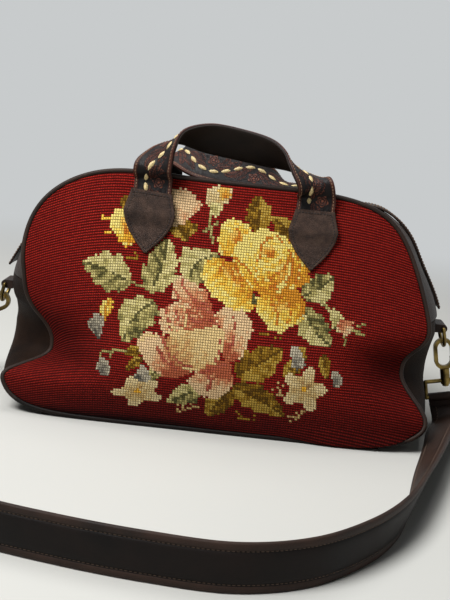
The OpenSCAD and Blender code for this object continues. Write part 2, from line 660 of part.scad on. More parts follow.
module front_panel() { color(needle_red) panel(false); }
module back_panel() { color(needle_red) scale([1, -1, 1]) panel(true); }
module base_panel() {
    color(leather_dark)
        linear_extrude(base_t)
            polygon(concat(base_side(foot_turn, 1), base_long(1), base_side(180 - foot_turn, -1),
                base_long(-1)));
}
module left_gusset() {
    color(leather_dark)
        gusset_piece(180 - strip_turn + turn_gap, 180 - foot_turn, -1, 1, 8);
}
module right_gusset() {
    color(leather_dark)
        gusset_piece(foot_turn, strip_turn - turn_gap, -1, 1, 8);
}
module front_top_strip() { color(leather_dark) strip_piece(-1); }
module back_top_strip() { color(leather_dark) strip_piece(1); }
module front_piping() { color(leather_dark) piping(false); }
module back_piping() { color(leather_dark) scale([1, -1, 1]) piping(true); }
module front_zip_tape() { color(tape_dark) zip_tape_piece(-1); }
module back_zip_tape() { color(tape_dark) zip_tape_piece(1); }
module zip_chain() {
    color(brass)
        translate([0, 0, chain_mid])
            linear_extrude(chain_t, center = true)
                chain_shape();
}
module zip_slider() {
    color(brass)
        translate([slider_x, 0, 0]) {
            translate([-slider_l / 2, -slider_w / 2, plate_lo])
                cube([slider_l, slider_w, slider_t]);
            for (s = [-1, 1])
                translate([-crown_l / 2, s * (pull_w / 4 + running) - (s < 0 ? ear_t : 0), plate_lo])
                    cube([crown_l, ear_t, slider_t + crown_h + 2 * pull_pin]);
            translate([0, 0, pin_z])
                rotate([90, 0, 0])
                    cylinder(r = pull_pin, h = pull_w / 2 + 2 * running + ear_t, center = true, $fn = 32);
        }
}
module zip_slider_under() {
    low_z = chain_mid - chain_t / 2 - clearance - slider_t;
    color(brass)
        translate([slider_x - slider_l / 2, -slider_w / 2, low_z])
            cube([slider_l, slider_w, slider_t]);
}
module zip_pull() {
    eye = pull_pin * 2;
    neck = pull_w / 2;
    color(brass)
        translate([slider_x, 0, pin_z])
            difference() {
                union() {
                    rotate([90, 0, 0])
                        cylinder(r = eye, h = neck, center = true, $fn = 32);
                    translate([-slider_l * 0.7, -neck / 2, -pull_pin])
                        cube([slider_l * 0.7, neck, 2 * pull_pin]);
                    translate([-pull_l, -pull_w / 2, -pull_pin])
                        cube([pull_l - slider_l * 0.6, pull_w, 2 * pull_pin]);
                }
                rotate([90, 0, 0])
                    cylinder(r = pull_pin + running, h = pull_w, center = true, $fn = 32);
                translate([-pull_l + pull_w / 2, 0, 0])
                    cylinder(r = pull_w / 4, h = 4 * pull_pin, center = true, $fn = 32);
            }
}
module left_zip_tab() { color(leather_dark) zip_tab(-1); }
module right_zip_tab() { color(leather_dark) zip_tab(1); }
module front_handle() { color(tooled) belt(false, 0, belt_t); }
module front_handle_lining() { color(leather_dark) belt(false, -lining_t, 0); }
module back_handle() { color(tooled) belt(true, 0, belt_t); }
module back_handle_lining() { color(leather_dark) belt(true, -lining_t, 0); }
module front_left_chape() { color(suede) chape(left_leg, false); }
module front_right_chape() { color(suede) chape(right_leg, false); }
module back_left_chape() { color(suede) chape(left_leg, true); }
module back_right_chape() { color(suede) chape(right_leg, true); }
module left_ring_loop() { color(leather_dark) ring_loop(-1); }
module right_ring_loop() { color(leather_dark) ring_loop(1); }
module left_d_ring() { color(brass) d_ring(-1); }
module right_d_ring() { color(brass) d_ring(1); }
module left_hook() { color(brass) at_hook(-1) claw(); }
module right_hook() { color(brass) at_hook(1) claw(); }
module left_gate() { color(brass) at_hook(-1) translate([gate_x, 0, gate_z]) gate_lever(); }
module right_gate() { color(brass) at_hook(1) translate([gate_x, 0, gate_z]) gate_lever(); }
module gate_pin_shape() {
    translate([gate_x, 0, gate_z])
        rotate([90, 0, 0])
            cylinder(r = gate_pin_r, h = hook_t, center = true, $fn = 32);
}
module left_gate_pin() { color(brass) at_hook(-1) gate_pin_shape(); }
module right_gate_pin() { color(brass) at_hook(1) gate_pin_shape(); }
module left_swivel_eye() { color(brass) at_hook(-1) swivel_eye_shape(); }
module right_swivel_eye() { color(brass) at_hook(1) swivel_eye_shape(); }
module left_strap_end() { color(leather_dark) at_hook(-1) strap_end_shape(); }
module right_strap_end() { color(leather_dark) at_hook(1) strap_end_shape(); }
module shoulder_strap() { color(leather_dark) strap_shape(); }

front_panel();
back_panel();
base_panel();
left_gusset();
right_gusset();
front_top_strip();
back_top_strip();
front_piping();
back_piping();
front_zip_tape();
back_zip_tape();
zip_chain();
zip_slider();
zip_slider_under();
zip_pull();
left_zip_tab();
right_zip_tab();
front_handle();
front_handle_lining();
back_handle();
back_handle_lining();
front_left_chape();
front_right_chape();
back_left_chape();
back_right_chape();
left_ring_loop();
right_ring_loop();
left_d_ring();
right_d_ring();
left_hook();
right_hook();
left_gate();
right_gate();
left_gate_pin();
right_gate_pin();
left_swivel_eye();
right_swivel_eye();
left_strap_end();
right_strap_end();
shoulder_strap();
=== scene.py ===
"""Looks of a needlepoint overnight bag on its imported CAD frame. Sizes are in millimetres until a mesh is made."""

import math

import bpy
import numpy as np
from mathutils import Matrix, Vector


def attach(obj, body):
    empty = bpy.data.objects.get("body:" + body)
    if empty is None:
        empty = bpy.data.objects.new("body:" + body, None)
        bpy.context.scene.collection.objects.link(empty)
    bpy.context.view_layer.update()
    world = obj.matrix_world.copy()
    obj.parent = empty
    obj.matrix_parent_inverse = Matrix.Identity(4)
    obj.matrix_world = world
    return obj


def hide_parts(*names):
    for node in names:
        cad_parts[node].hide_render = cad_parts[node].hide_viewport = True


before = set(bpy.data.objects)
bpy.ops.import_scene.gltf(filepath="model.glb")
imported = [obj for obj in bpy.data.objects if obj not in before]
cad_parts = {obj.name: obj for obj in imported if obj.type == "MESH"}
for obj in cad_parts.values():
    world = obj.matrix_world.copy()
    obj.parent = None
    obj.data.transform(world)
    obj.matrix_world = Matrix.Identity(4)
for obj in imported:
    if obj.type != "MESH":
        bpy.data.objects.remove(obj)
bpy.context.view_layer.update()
scene = bpy.context.scene
MM = 0.001
rng = np.random.default_rng(11)

# The bag's sizes, as in the CAD source
HALF_W, TOP_Z, BACK_DROP, BASE_DEPTH, TOP_DEPTH = 214.0, 242.0, 10.0, 206.0, 92.0
BULGE, BELLY, LEFT_DENT, RIGHT_DENT, RIGHT_FLARE = 20.0, 12.0, 28.0, 18.0, 8.0
LEFT_FOLD, RIGHT_FOLD, LEFT_SLOPE, RIGHT_SLOPE, LEFT_RISE = 45.0, 28.0, 11.0, 33.0, 6.0
SIDE_SWELL, PANEL_T, LEATHER_T, BEAD_R, CLEAR = 14.0, 3.0, 2.4, 2.4, 0.3
SEAM_Z, FOOT_Z, ZIP_Z, ZIP_SINK, ZIP_SLOT = 4.8, 0.3, 230.0, 12.0, 21.0
RIM_TOP, RIM_FOOT = 3.6, 7.0  # how square the seam outline is above and below its middle
PANEL_LEN = math.hypot(TOP_Z - SEAM_Z, (BASE_DEPTH - TOP_DEPTH) / 2)
BELT_W, BELT_T, LINING_T, LEG_X, SHIFT = 38.0, 2.6, 1.6, 83.0, 3.0
CHAPE_W, CHAPE_L, CHAPE_TOP, BELT_HOLD = 53.0, 56.0, 18.0, 14.0
STRAP_W = 38.0


# ---- shape rules shared with the CAD source ----
def mix(a, b, s):
    return a + (b - a) * s


def ease(x):
    c = np.clip(x, 0, 1)
    return c * c * (3 - 2 * c)


def hump(x, c, lo, hi):
    return np.exp(-(((x - c) / np.where(x < c, lo, hi)) ** 2))


def unit(v):
    return v / np.maximum(np.linalg.norm(v, axis=-1, keepdims=True), 1e-9)


def rim_share(u, v):
    w = 2 * v - 1
    n = np.where(w >= 0, RIM_TOP, RIM_FOOT)
    return (np.abs(u) ** n + np.abs(w) ** n) ** (1 / n)


def rim_uv(t):
    c, s = np.cos(np.radians(t)), np.sin(np.radians(t))
    n = np.where(s >= 0, RIM_TOP, RIM_FOOT)
    k = (np.abs(c) ** n + np.abs(s) ** n) ** (-1 / n)
    return c * k, (1 + s * k) / 2


def shelf(x, c, lo, hi, n_lo, n_hi):
    return np.exp(-((np.abs(x - c) / np.where(x < c, lo, hi)) ** np.where(x < c, n_lo, n_hi)))


def fold_at(u, v):
    return np.where(u < 0, shelf(v, 0.252, 0.085, 0.2, 3.7, 2), shelf(v, 0.292, 0.125, 0.125, 2, 2.7))


def slope_at(u, v):
    right = RIGHT_SLOPE * ease((v - 0.3) / 0.66) - RIGHT_FLARE * hump(v, 0.09, 0.08, 0.08)
    return np.where(u < 0, LEFT_SLOPE * ease((v - 0.38) / 0.2), right)


def mid_slope(u, v):
    more = np.where(u < 0, 0, RIGHT_SLOPE / 2 - LEFT_SLOPE) * ease((v - 0.5) / 0.4)
    return LEFT_SLOPE * ease((v - 0.3) / 0.6) + more


def panel_point(u, v, back):
    u, v = np.broadcast_arrays(np.asarray(u, float), np.asarray(v, float))
    r = np.minimum(rim_share(u, v), 1.0)
    fold = fold_at(u, v)
    pull = np.where(u < 0, LEFT_FOLD, RIGHT_FOLD) * fold + slope_at(u, v)
    swell = BULGE * mix(1.15, 0.6, v) + BELLY * hump(v, 0.2, 0.22, 0.28)
    x = HALF_W * u - np.sign(u) * np.abs(u) ** 3 * pull
    y = -mix(BASE_DEPTH, TOP_DEPTH, v) / 2 - (1 - r * r) * swell
    y = y + np.where(u < 0, LEFT_DENT, RIGHT_DENT) * fold * ease((np.abs(u) - 0.35) / 0.65)
    z = mix(SEAM_Z, TOP_Z - (BACK_DROP if back else 0), v)
    z = z + LEFT_RISE * ease((v - 0.6) / 0.4) * hump(u, -0.6, 0.3, 0.3)
    return np.stack([x, y, z], -1)


def panel_normal(u, v, back, h=0.004):
    du = panel_point(u + h, v, back) - panel_point(u - h, v, back)
    dv = panel_point(u, v + h, back) - panel_point(u, v - h, back)
    return unit(np.cross(du, dv))


def panel_off(u, v, back, off):
    return panel_point(u, v, back) + np.asarray(off)[..., None] * panel_normal(u, v, back)


def mirrored(p, back):
    """The back is worked out in front, then turned over."""
    return p * [1, -1, 1] if back else p


def seam(t, back):
    p = panel_point(*rim_uv(t), back)
    n = panel_normal(*rim_uv(t), back)
    along = unit(panel_point(*rim_uv(t + 1), back) - panel_point(*rim_uv(t - 1), back))
    return p, n, unit(np.cross(along, n))


def bead_point(t, back):
    p, n, out = seam(t, back)
    return p + (BEAD_R + CLEAR) * out - PANEL_T / 2 * n


def gusset_edge(t, back):
    return bead_point(t, back) - (BEAD_R + CLEAR) * seam(t, back)[1]


def soft_min(a, b, h):
    d = b - a
    return np.where(d < -h, b, np.where(d > h, a, b - (d + h) ** 2 / (4 * h)))


def gusset_point(t, q):
    t, q = np.broadcast_arrays(np.asarray(t, float), np.asarray(q, float))
    u, v = rim_uv(t)
    au = np.abs(u)
    side = SIDE_SWELL + BEAD_R - SIDE_SWELL / 2 * hump(v, 0.28, 0.12, 0.14) - SIDE_SWELL * ease((v - 0.48) / 0.3)
    mx = np.sign(u) * (HALF_W * au + au**4 * side - au**3 * mid_slope(u, v))
    mz = mix(SEAM_Z, TOP_Z, v) - 1.6 * SEAM_Z * ease(1 - v / 0.14)
    mz = np.maximum(FOOT_Z, soft_min(mz, ZIP_Z, ZIP_SINK / 3))
    e = np.where((q > 0)[..., None], gusset_edge(t, True), gusset_edge(t, False))
    s = np.abs(q) ** 2.3
    z = np.maximum(FOOT_Z, mix(mz, e[..., 2], s))
    return np.stack([mix(mx, e[..., 0], s), -q * e[..., 1], z], -1)


def gusset_off(t, q, off, h=0.004):
    over = gusset_point(t, np.minimum(1, q + h)) - gusset_point(t, np.maximum(-1, q - h))
    along = gusset_point(t + 1, q) - gusset_point(t - 1, q)
    return gusset_point(t, q) + np.asarray(off)[..., None] * unit(np.cross(over, along))


def curve(p, s):
    """A smooth curve through points, one unit of s from each to the next."""
    p = np.asarray(p, float)
    n = len(p) - 1
    x = np.clip(np.asarray(s, float), 0, n - 1e-4)
    i = np.floor(x).astype(int)
    f = (x - i)[..., None]
    a, b, c, d = p[np.maximum(0, i - 1)], p[i], p[i + 1], p[np.minimum(n, i + 2)]
    return b + 0.5 * f * (c - a + f * (2 * a - 5 * b + 4 * c - d + f * (3 * (b - c) + d - a)))


def rise(c):
    """Length of a path up to each of its points."""
    return np.r_[0, np.cumsum(np.linalg.norm(np.diff(c, axis=0), axis=1))]


def belt_frame(places, ways, s):
    """Middle of a strip, the way across it and the way out of it."""
    c = curve(places, s)
    t = unit(curve(places, s + 0.02) - curve(places, s - 0.02))
    w0 = curve(ways, s)
    w = unit(w0 - (w0 * t).sum(-1, keepdims=True) * t)
    return c, w, np.cross(w, t)


def even_frame(places, ways, walk, steps):
    """The same at even steps along the strip, found by a finer walk, after the length up to each step."""
    s = np.linspace(0, len(places) - 1, walk)
    at = rise(belt_frame(places, ways, s)[0])
    keep = np.linspace(0, at[-1], steps)
    return keep, *belt_frame(places, ways, np.interp(keep, at, s))


# ---- mesh helpers ----
def placed(name, data):
    ob = bpy.data.objects.new(name, data)
    scene.collection.objects.link(ob)
    return ob


def build(name, points, faces, mat, slot, stands=None):
    """A smooth piece of the bag, which stands for a CAD node where one is given."""
    me = bpy.data.meshes.new(name)
    me.from_pydata((points * MM).tolist(), [], faces)
    me.update()
    me.polygons.foreach_set("use_smooth", [True] * len(me.polygons))
    me.materials.append(mat)
    ob = placed(name, me)
    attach(ob, "bag")
    if stands:
        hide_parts(stands)
    return ob


def mark(ob, name, domain, values, kind="FLOAT"):
    """A named value for each face or point of a piece."""
    field = "value" if kind == "FLOAT" else "color"
    data = ob.data.attributes.new(name, kind, domain).data
    data.foreach_set(field, np.asarray(values, np.float32).ravel())


def grid_faces(ni, nj, base=0, ring=False, flip=False):
    i, j = np.indices((ni - 1, nj if ring else nj - 1)).reshape(2, -1)
    k = (j + 1) % nj
    q = base + np.stack([i * nj + j, i * nj + k, (i + 1) * nj + k, (i + 1) * nj + j], 1)
    return [tuple(f) for f in (q[:, ::-1] if flip else q).tolist()]


def shell_parts(outer, inner, flip=False):
    """A closed skin between two like grids."""
    if flip:
        outer, inner = outer[:, ::-1], inner[:, ::-1]
    ni, nj = outer.shape[:2]
    n = ni * nj
    faces = grid_faces(ni, nj) + grid_faces(ni, nj, n, flip=True)
    rim = [(i, 0) for i in range(ni)] + [(ni - 1, j) for j in range(1, nj)]
    rim += [(i, nj - 1) for i in range(ni - 2, -1, -1)] + [(0, j) for j in range(nj - 2, 0, -1)]
    ids = [i * nj + j for i, j in rim]
    faces += [(a, b, b + n, a + n) for a, b in zip(ids, ids[1:] + ids[:1])]
    return np.concatenate([outer.reshape(-1, 3), inner.reshape(-1, 3)]), faces


def tube_parts(rings, closed=False):
    """A tube through like rings of points, capped unless closed."""
    rings = np.asarray(rings, float)
    n, m = rings.shape[:2]
    faces = grid_faces(n, m, ring=True, flip=True)
    last = (n - 1) * m
    if closed:
        faces += [(last + (j + 1) % m, last + j, j, (j + 1) % m) for j in range(m)]
    else:
        faces += [tuple(range(m)), tuple(last + j for j in range(m - 1, -1, -1))]
    return rings.reshape(-1, 3), faces


def joined(parts):
    pts, faces, at = [], [], 0
    for p, f in parts:
        pts.append(p)
        faces += [tuple(i + at for i in q) for q in f]
        at += len(p)
    return np.concatenate(pts), faces


STITCH_LONG = ((-0.5, 0.35), (-0.28, 1), (0.28, 1), (0.5, 0.35))  # places along a stitch, and how thick it is there
STITCH_ROUND = (0, 1.05, 2.1, 3.14, 4.7)  # angles round it


def stitch_parts(path, normals, pitch=3.4, long=2.3, wide=0.8, high=0.5):
    """A row of short thread stitches lying on a surface, at an even pitch."""
    d = rise(path)
    n = max(2, int(d[-1] / pitch))
    at = (np.arange(n) + 0.5) * d[-1] / n
    p, n = (np.stack([np.interp(at, d, f[:, k]) for k in range(3)], 1) for f in (path, normals))
    n = unit(n)
    t = unit(np.gradient(p, axis=0))
    n = unit(n - (n * t).sum(-1, keepdims=True) * t)
    parts = []
    for c, a, b, d in zip(p, t, np.cross(n, t), n):
        parts.append(tube_parts([[c + x * long * a + k * (0.5 * wide * math.cos(g) * b + high * math.sin(g) * d)
                                  for g in STITCH_ROUND] for x, k in STITCH_LONG]))
    return joined(parts)


# ---- materials ----
def lin(r, g, b):
    c = np.array([r, g, b]) / 255
    return np.where(c <= 0.04045, c / 12.92, ((c + 0.055) / 1.055) ** 2.4)


def rgba(r, g, b):
    return (*lin(r, g, b).tolist(), 1.0)


def put(tree, socket, v):
    """Links a socket, or sets its own value."""
    if isinstance(v, bpy.types.NodeSocket):
        tree.links.new(v, socket)
    else:
        socket.default_value = v


def add(tree, kind, props=None, out=0, **inputs):
    """A new node's output. Its inputs go by name, or by place as i0, i1 and so on."""
    n = tree.nodes.new("ShaderNode" + kind)
    for k, v in (props or {}).items():
        setattr(n, k, v)
    for k, v in inputs.items():
        put(tree, n.inputs[int(k[1:]) if k[1:].isdigit() else k.replace("_", " ")], v)
    return n.outputs[out]


def material(name):
    mat = bpy.data.materials.new(name)
    mat.use_nodes = True
    tree = mat.node_tree
    return mat, tree, tree.nodes["Principled BSDF"], add(tree, "TexCoord", out="Object")


def math_node(tree, op, a, b=0.0, c=0.0):
    return add(tree, "Math", {"operation": op}, i0=a, i1=b, i2=c)


def times(tree, a, b, c=0.0):
    """a * b + c"""
    return math_node(tree, "MULTIPLY_ADD", a, b, c)


def noise(tree, co, scale, detail, **more):
    return add(tree, "TexNoise", Vector=co, Scale=scale, Detail=detail, **more)


def attribute(tree, name, out="Fac"):
    return add(tree, "Attribute", {"attribute_name": name}, out)


def smooth_step(tree, value, **ends):
    return add(tree, "MapRange", {"interpolation_type": "SMOOTHSTEP"}, Value=value, **ends)


def ramp(tree, value, *stops):
    out = add(tree, "ValToRGB", Fac=value)
    elements = out.node.color_ramp.elements
    for i, (at, colour) in enumerate(stops):
        e = elements[i] if i < 2 else elements.new(at)
        e.position, e.color = at, rgba(*colour)
    return out


def finish(tree, bsdf, colour, rough, height=None, strength=0.3, distance=0.0003, **more):
    if height is not None:
        more["Normal"] = add(tree, "Bump", Strength=strength, Distance=distance, Height=height)
    for k, v in {"Base Color": colour, "Roughness": rough, **more}.items():
        put(tree, bsdf.inputs[k.replace("_", " ")], v)


def leather(name, dark, light, rough, grain=900.0, bump=0.25, distance=0.0004, mottle=26.0, shine=0.2):
    mat, t, b, co = material(name)
    big = noise(t, co, mottle, 5.0, Roughness=0.6)
    cell = add(t, "TexVoronoi", {"feature": "DISTANCE_TO_EDGE"}, Vector=co, Scale=grain)
    fine = noise(t, co, grain * 1.7, 3.0)
    colour = ramp(t, times(t, times(t, fine, 1.0, -0.5), 0.35, big), (0.3, dark), (0.72, light))
    height = times(t, fine, 0.5, math_node(t, "MINIMUM", times(t, cell, 6.0), 1.0))
    finish(t, b, colour, times(t, big, 0.3, rough - 0.15), height, bump, distance, Specular_IOR_Level=shine)
    return mat


def needlepoint():
    """Wool stitches, each rounded both ways of the canvas, with painted shade in the gaps between them. The motif's
    are fuller than the ground's.
    """
    mat, t, b, co = material("needlepoint")
    uv = add(t, "UVMap", {"uv_map": "stitch"})
    motif = attribute(t, "motif")
    fx, fy = (math_node(t, "FRACT", x) for x in add(t, "SeparateXYZ", Vector=uv).node.outputs[:2])

    def crown(f, flat, deep):
        d = math_node(t, "ABSOLUTE", times(t, f, 2.0, -1.0))
        return smooth_step(t, d, From_Min=flat, From_Max=deep, To_Min=1.0, To_Max=0.0)

    def cut(p, deep):
        """What a gap of some depth leaves of the light."""
        return times(t, deep, times(t, p, 1.0, -1.0), 1.0)

    lean = math_node(t, "FRACT", times(t, times(t, fy, 1.0, -0.5), 0.28, fx))
    px = crown(lean, 0.55, 1.05)
    py = crown(fy, times(t, motif, 0.5), times(t, motif, 0.28, 0.72))
    # painted shade in the gaps between stitches, multiplied into the wool colour
    gap_shade = times(t, cut(px, times(t, motif, -0.12, 0.62)), cut(py, times(t, motif, -0.25, 0.85)))
    # fine fuzz, and broad random patches of worn, uneven tone
    fuzz, wear_and_painted_shade = noise(t, co, 1500.0, 3.0), noise(t, co, 14.0, 4.0)
    tone = times(t, times(t, motif, -0.95, 2.0), gap_shade)
    tone = times(t, times(t, tone, times(t, fuzz, 0.5, 0.74)), times(t, wear_and_painted_shade, 0.3, 0.86))
    grey = add(t, "CombineColor", Red=tone, Green=tone, Blue=tone)
    colour = add(t, "Mix", {"data_type": "RGBA", "blend_type": "MULTIPLY"}, 2, i0=1.0,
                 i6=attribute(t, "wool", "Color"), i7=grey)
    height = times(t, fuzz, 0.25, times(t, px, py))
    finish(t, b, colour, 0.9, height, 0.8, 0.001, Specular_IOR_Level=0.1)
    return mat


def tooled():
    mat, t, b, co = material("tooled_leather")
    relief = attribute(t, "relief")
    fine, big = noise(t, co, 900.0, 4.0), noise(t, co, 45.0, 3.0)
    tone = times(t, times(t, fine, 1.0, -0.5), 0.5, relief)
    tone = times(t, times(t, big, 1.0, -0.5), 0.5, tone)
    colour = ramp(t, tone, (0.1, (14, 9, 9)), (1.05, (122, 70, 52)), (0.45, (38, 21, 18)), (0.75, (72, 37, 28)))
    finish(t, b, colour, 0.46, times(t, fine, 0.3, relief), 0.9, 0.0009, Specular_IOR_Level=0.2)
    return mat


def brass(name, low, high, rough):
    mat, t, b, co = material(name)
    big = noise(t, co, 90.0, 5.0)
    colour = ramp(t, big, (0.35, low), (0.65, high))
    finish(t, b, colour, times(t, big, 0.3, rough), noise(t, co, 700.0, 2.0), 0.12, Metallic=1.0)
    return mat


def cloth(name, dark, light, scale=1600.0):
    mat, t, b, co = material(name)
    w = add(t, "TexWave", {"bands_direction": "X"}, 1, Vector=co, Scale=scale / 6, Distortion=0.6)
    n = noise(t, co, scale, 2.0)
    finish(t, b, ramp(t, n, (0.3, dark), (0.7, light)), 0.85, math_node(t, "ADD", w, n), 0.35)
    return mat


def thread(name, colour, rough=0.7):
    mat, t, b, co = material(name)
    n = noise(t, co, 600.0, 3.0)
    dark = tuple(int(c * 0.72) for c in colour)
    finish(t, b, ramp(t, n, (0.3, dark), (0.65, colour)), rough, n)
    return mat


M_NEEDLE = needlepoint()
M_TOOLED = tooled()
M_LEATHER = leather("leather", (24, 16, 12), (54, 38, 30), 0.5)
# a darker copy of the leather for the gusset ends, as painted shade
M_SHADED_GUSSET = leather("gusset", (18, 11, 8), (46, 32, 24), 0.62, shine=0.06)
M_LINING = leather("lining", (18, 13, 10), (40, 30, 24), 0.55, 1100.0, 0.2)
M_SUEDE = leather("suede", (44, 31, 25), (90, 69, 58), 0.6, 620.0, 0.8, 0.001, 110.0, 0.25)
M_STRAP = leather("strap_face", (10, 7, 6), (26, 18, 15), 0.5, 1000.0, shine=0.14)
M_STRAP_IN = leather("strap_inner", (26, 17, 13), (58, 41, 33), 0.55)
M_BRASS = brass("brass", (70, 58, 34), (150, 128, 74), 0.22)
M_BLACK = brass("dark_metal", (26, 23, 20), (60, 52, 42), 0.3)
M_TAPE = cloth("zip_tape", (22, 18, 17), (46, 38, 35))
M_THREAD = thread("thread_tan", (150, 116, 86))
M_DARK_THREAD = thread("thread_brown", (104, 82, 66))
M_BLACK_THREAD = thread("thread_black", (34, 22, 17))
M_LACE = thread("lace_rawhide", (236, 210, 150), 0.5)


# ---- needlepoint panels ----
PITCH = 2.54  # one stitch
CELLS_X, CELLS_Y = 88, 60  # stitches from a panel's middle to its sides and to its ends
BACKING = (70, 40, 32)
DROOP = (0, -3.6, -3.4)  # how the front's foot sags over the seam
# the cloth's place in millimetres for a point of the bouquet's drawing, which has about four units a millimetre
DRAW, DRAW_AT = np.array([[0.25043, 0.02594], [0.02546, -0.24269]]), np.array([-174.765, 240.699])
SHADES = {
    "ground": [(126, 25, 19), (132, 27, 20), (138, 30, 22)],
    "yellow": [(222, 146, 44), (244, 180, 56), (254, 204, 78), (255, 218, 98), (255, 230, 130)],
    "pink": [(188, 98, 66), (212, 134, 92), (228, 164, 116), (236, 186, 136), (242, 204, 154)],
    "rose": [(164, 74, 56), (188, 98, 74), (208, 124, 96)],
    "shell": [(202, 138, 88), (222, 170, 108), (232, 192, 126), (240, 206, 142)],
    "sage": [(94, 88, 50), (148, 136, 80), (188, 173, 106), (212, 196, 126), (230, 214, 146)],
    "olive": [(100, 70, 20), (138, 100, 28), (168, 128, 42), (190, 154, 66)],
    "white": [(176, 134, 84), (214, 178, 116), (230, 200, 140), (242, 216, 160)],
    "grey": [(96, 90, 80), (130, 122, 108), (164, 154, 134), (198, 186, 160)],
    "flame": [(212, 124, 40), (236, 164, 60), (248, 198, 94)],
}


def rounded(points):
    """An outline with its corners cut off."""
    p = np.reshape(points, (-1, 2)).astype(float)
    for _ in range(2):
        q = np.roll(p, -1, 0)
        p = np.stack([0.75 * p + 0.25 * q, 0.25 * p + 0.75 * q], 1).reshape(-1, 2)
    return p


def inside(poly, x, y):
    hit = np.zeros(x.shape, bool)
    for (x0, y0), (x1, y1) in zip(poly, np.roll(poly, -1, 0)):
        if y0 != y1:
            hit ^= ((y0 > y) != (y1 > y)) & (x < (x1 - x0) * (y - y0) / (y1 - y0) + x0)
    return hit


def along_line(x, y, a, b):
    """Share of the way from a to b, distance to one side of it, and its length."""
    (ax, ay), (bx, by) = a, b
    length = math.hypot(bx - ax, by - ay)
    along = ((x - ax) * (bx - ax) + (y - ay) * (by - ay)) / length**2
    return along, ((x - ax) * (by - ay) - (y - ay) * (bx - ax)) / length, length


def segment_distance(x, y, a, b):
    k = np.clip(along_line(x, y, a, b)[0], 0, 1)
    return np.hypot(x - mix(a[0], b[0], k), y - mix(a[1], b[1], k))


class Canvas:
    """Wool shades on a grid of stitches, laid in from back to front by their places in the drawing."""

    def __init__(self, x, y):
        self.x, self.y = x, y
        self.noise = rng.random(x.shape)
        self.patch = [self.smooth() for _ in range(3)]
        self.colour = np.zeros(x.shape + (3,))
        self.motif = np.zeros(x.shape)
        self.lay(np.ones(x.shape, bool), "ground", self.noise, 0)

    def smooth(self):
        """Soft patches of chance, three stitches wide."""
        n = rng.random(self.x.shape)
        n = sum(np.roll(n, (i, j), (0, 1)) for i in range(-1, 2) for j in range(-1, 2))
        return (n - n.mean()) / n.std()

    def lay(self, where, wool, share, motif=1):
        """Stitches of one wool, from its darkest shade at share 0 to its lightest at 1."""
        shades = np.array([lin(*c) for c in SHADES[wool]])
        i = np.clip((share * len(shades)).astype(int), 0, len(shades) - 1)
        self.colour[where] = shades[i][where]
        self.motif[where] = motif

    def petal(self, wool, points, dark, light, rough=0.25, rim=8.0):
        """A petal shaded from a dark place to a light one, mostly with a light rim."""
        x, y = self.x + 3.5 * self.patch[0], self.y + 3.5 * self.patch[1]
        along, across, _ = along_line(x, y, dark, light)
        share = along + (0.02 if wool == "pink" else 0.12) + 0.13 * np.sin(across * 0.17 + self.patch[2])
        share = share + 0.09 * self.patch[2] + rough * (self.noise - 0.5)
        poly = rounded(points)
        far = np.min([segment_distance(x, y, a, b) for a, b in zip(poly, np.roll(poly, -1, 0))], 0)
        share = np.where((far < rim) & (share > 0.3) & (self.patch[0] > -0.6), np.maximum(share, 0.86), share)
        self.lay(inside(poly, x, y), wool, share)

    def leaf(self, wool, base, tip, wide, bend):
        """A toothed leaf with a dark midrib, lighter on one side."""
        along, side, length = along_line(self.x, self.y, base, tip)
        side = -side - bend * length * np.sin(np.pi * np.clip(along, 0, 1))
        saw = 1 + 0.07 * np.sign(np.sin(along * 22)) + 0.05 * self.patch[1]
        half = wide / 2 * np.clip(np.sin(np.pi * np.clip(along, 0, 1) ** 0.8), 0, 1) ** 0.75 * saw
        vein = np.abs(np.sin(along * 13 - np.abs(side) / wide * 7))
        share = 0.36 + 0.2 * np.sign(side) + 0.34 * vein + 0.15 * self.patch[0] + 0.2 * (self.noise - 0.5)
        share = np.where((np.abs(side) < 4) & (self.patch[1] > -1), 0.05, share)
        self.lay((np.abs(side) < half) & (along > 0) & (along < 1), wool, share)

    def star(self, wool, centre, radius, turn, flat=1.0):
        """A small flower of five petals."""
        dx, dy = self.x - centre[0], (self.y - centre[1]) / flat
        r, a = np.hypot(dx, dy), np.arctan2(dy, dx) - math.radians(turn)
        edge = radius * (0.79 + 0.21 * np.cos(5 * a))
        share = 0.35 + 0.7 * r / radius + 0.3 * (self.noise - 0.5) - 0.25 * (np.cos(5 * a) < -0.2)
        self.lay(r < edge, wool, share)
        self.lay(r < radius * 0.13, "yellow", 0.3 + 0 * r)

    def lines(self, wool, wide, share, broken, *paths):
        """Lines of one shade, with a part of their stitches left out."""
        for points in paths:
            points = np.reshape(points, (-1, 2))
            for a, b in zip(points, points[1:]):
                where = segment_distance(self.x, self.y, a, b) < wide + self.patch[0]
                self.lay(where & (self.noise >= broken), wool, share + 0.3 * (self.noise - 0.5))


# wool, base, tip, width, bend
LEAVES = [
    ("sage", (285, 445), (85, 362), 150, 0.04), ("sage", (366, 482), (436, 268), 140, 0.05),
    ("sage", (384, 516), (250, 674), 146, 0.1), ("sage", (632, 330), (520, 470), 150, 0.22),
    ("sage", (965, 500), (1104, 424), 118, 0.04), ("sage", (968, 545), (1082, 700), 112, 0.08),
    ("olive", (706, 806), (886, 700), 136, 0.02), ("olive", (690, 850), (888, 986), 116, -0.04),
    ("olive", (690, 868), (588, 992), 108, 0.06), ("sage", (572, 872), (432, 932), 92, 0.05),
    ("olive", (792, 246), (790, 96), 104, 0.03), ("olive", (944, 262), (848, 186), 78, 0),
    ("olive", (440, 232), (556, 222), 74, 0.08), ("olive", (470, 216), (520, 280), 46, 0),
    ("olive", (974, 756), (886, 806), 58, 0.05), ("olive", (980, 748), (920, 694), 56, 0),
    ("olive", (1052, 728), (1072, 830), 46, 0), ("olive", (336, 706), (254, 716), 44, 0),
    ("olive", (336, 734), (262, 786), 40, 0), ("olive", (236, 150), (292, 122), 44, 0),
    ("yellow", (206, 502), (166, 606), 46, 0.06), ("sage", (404, 770), (352, 836), 52, 0),
]


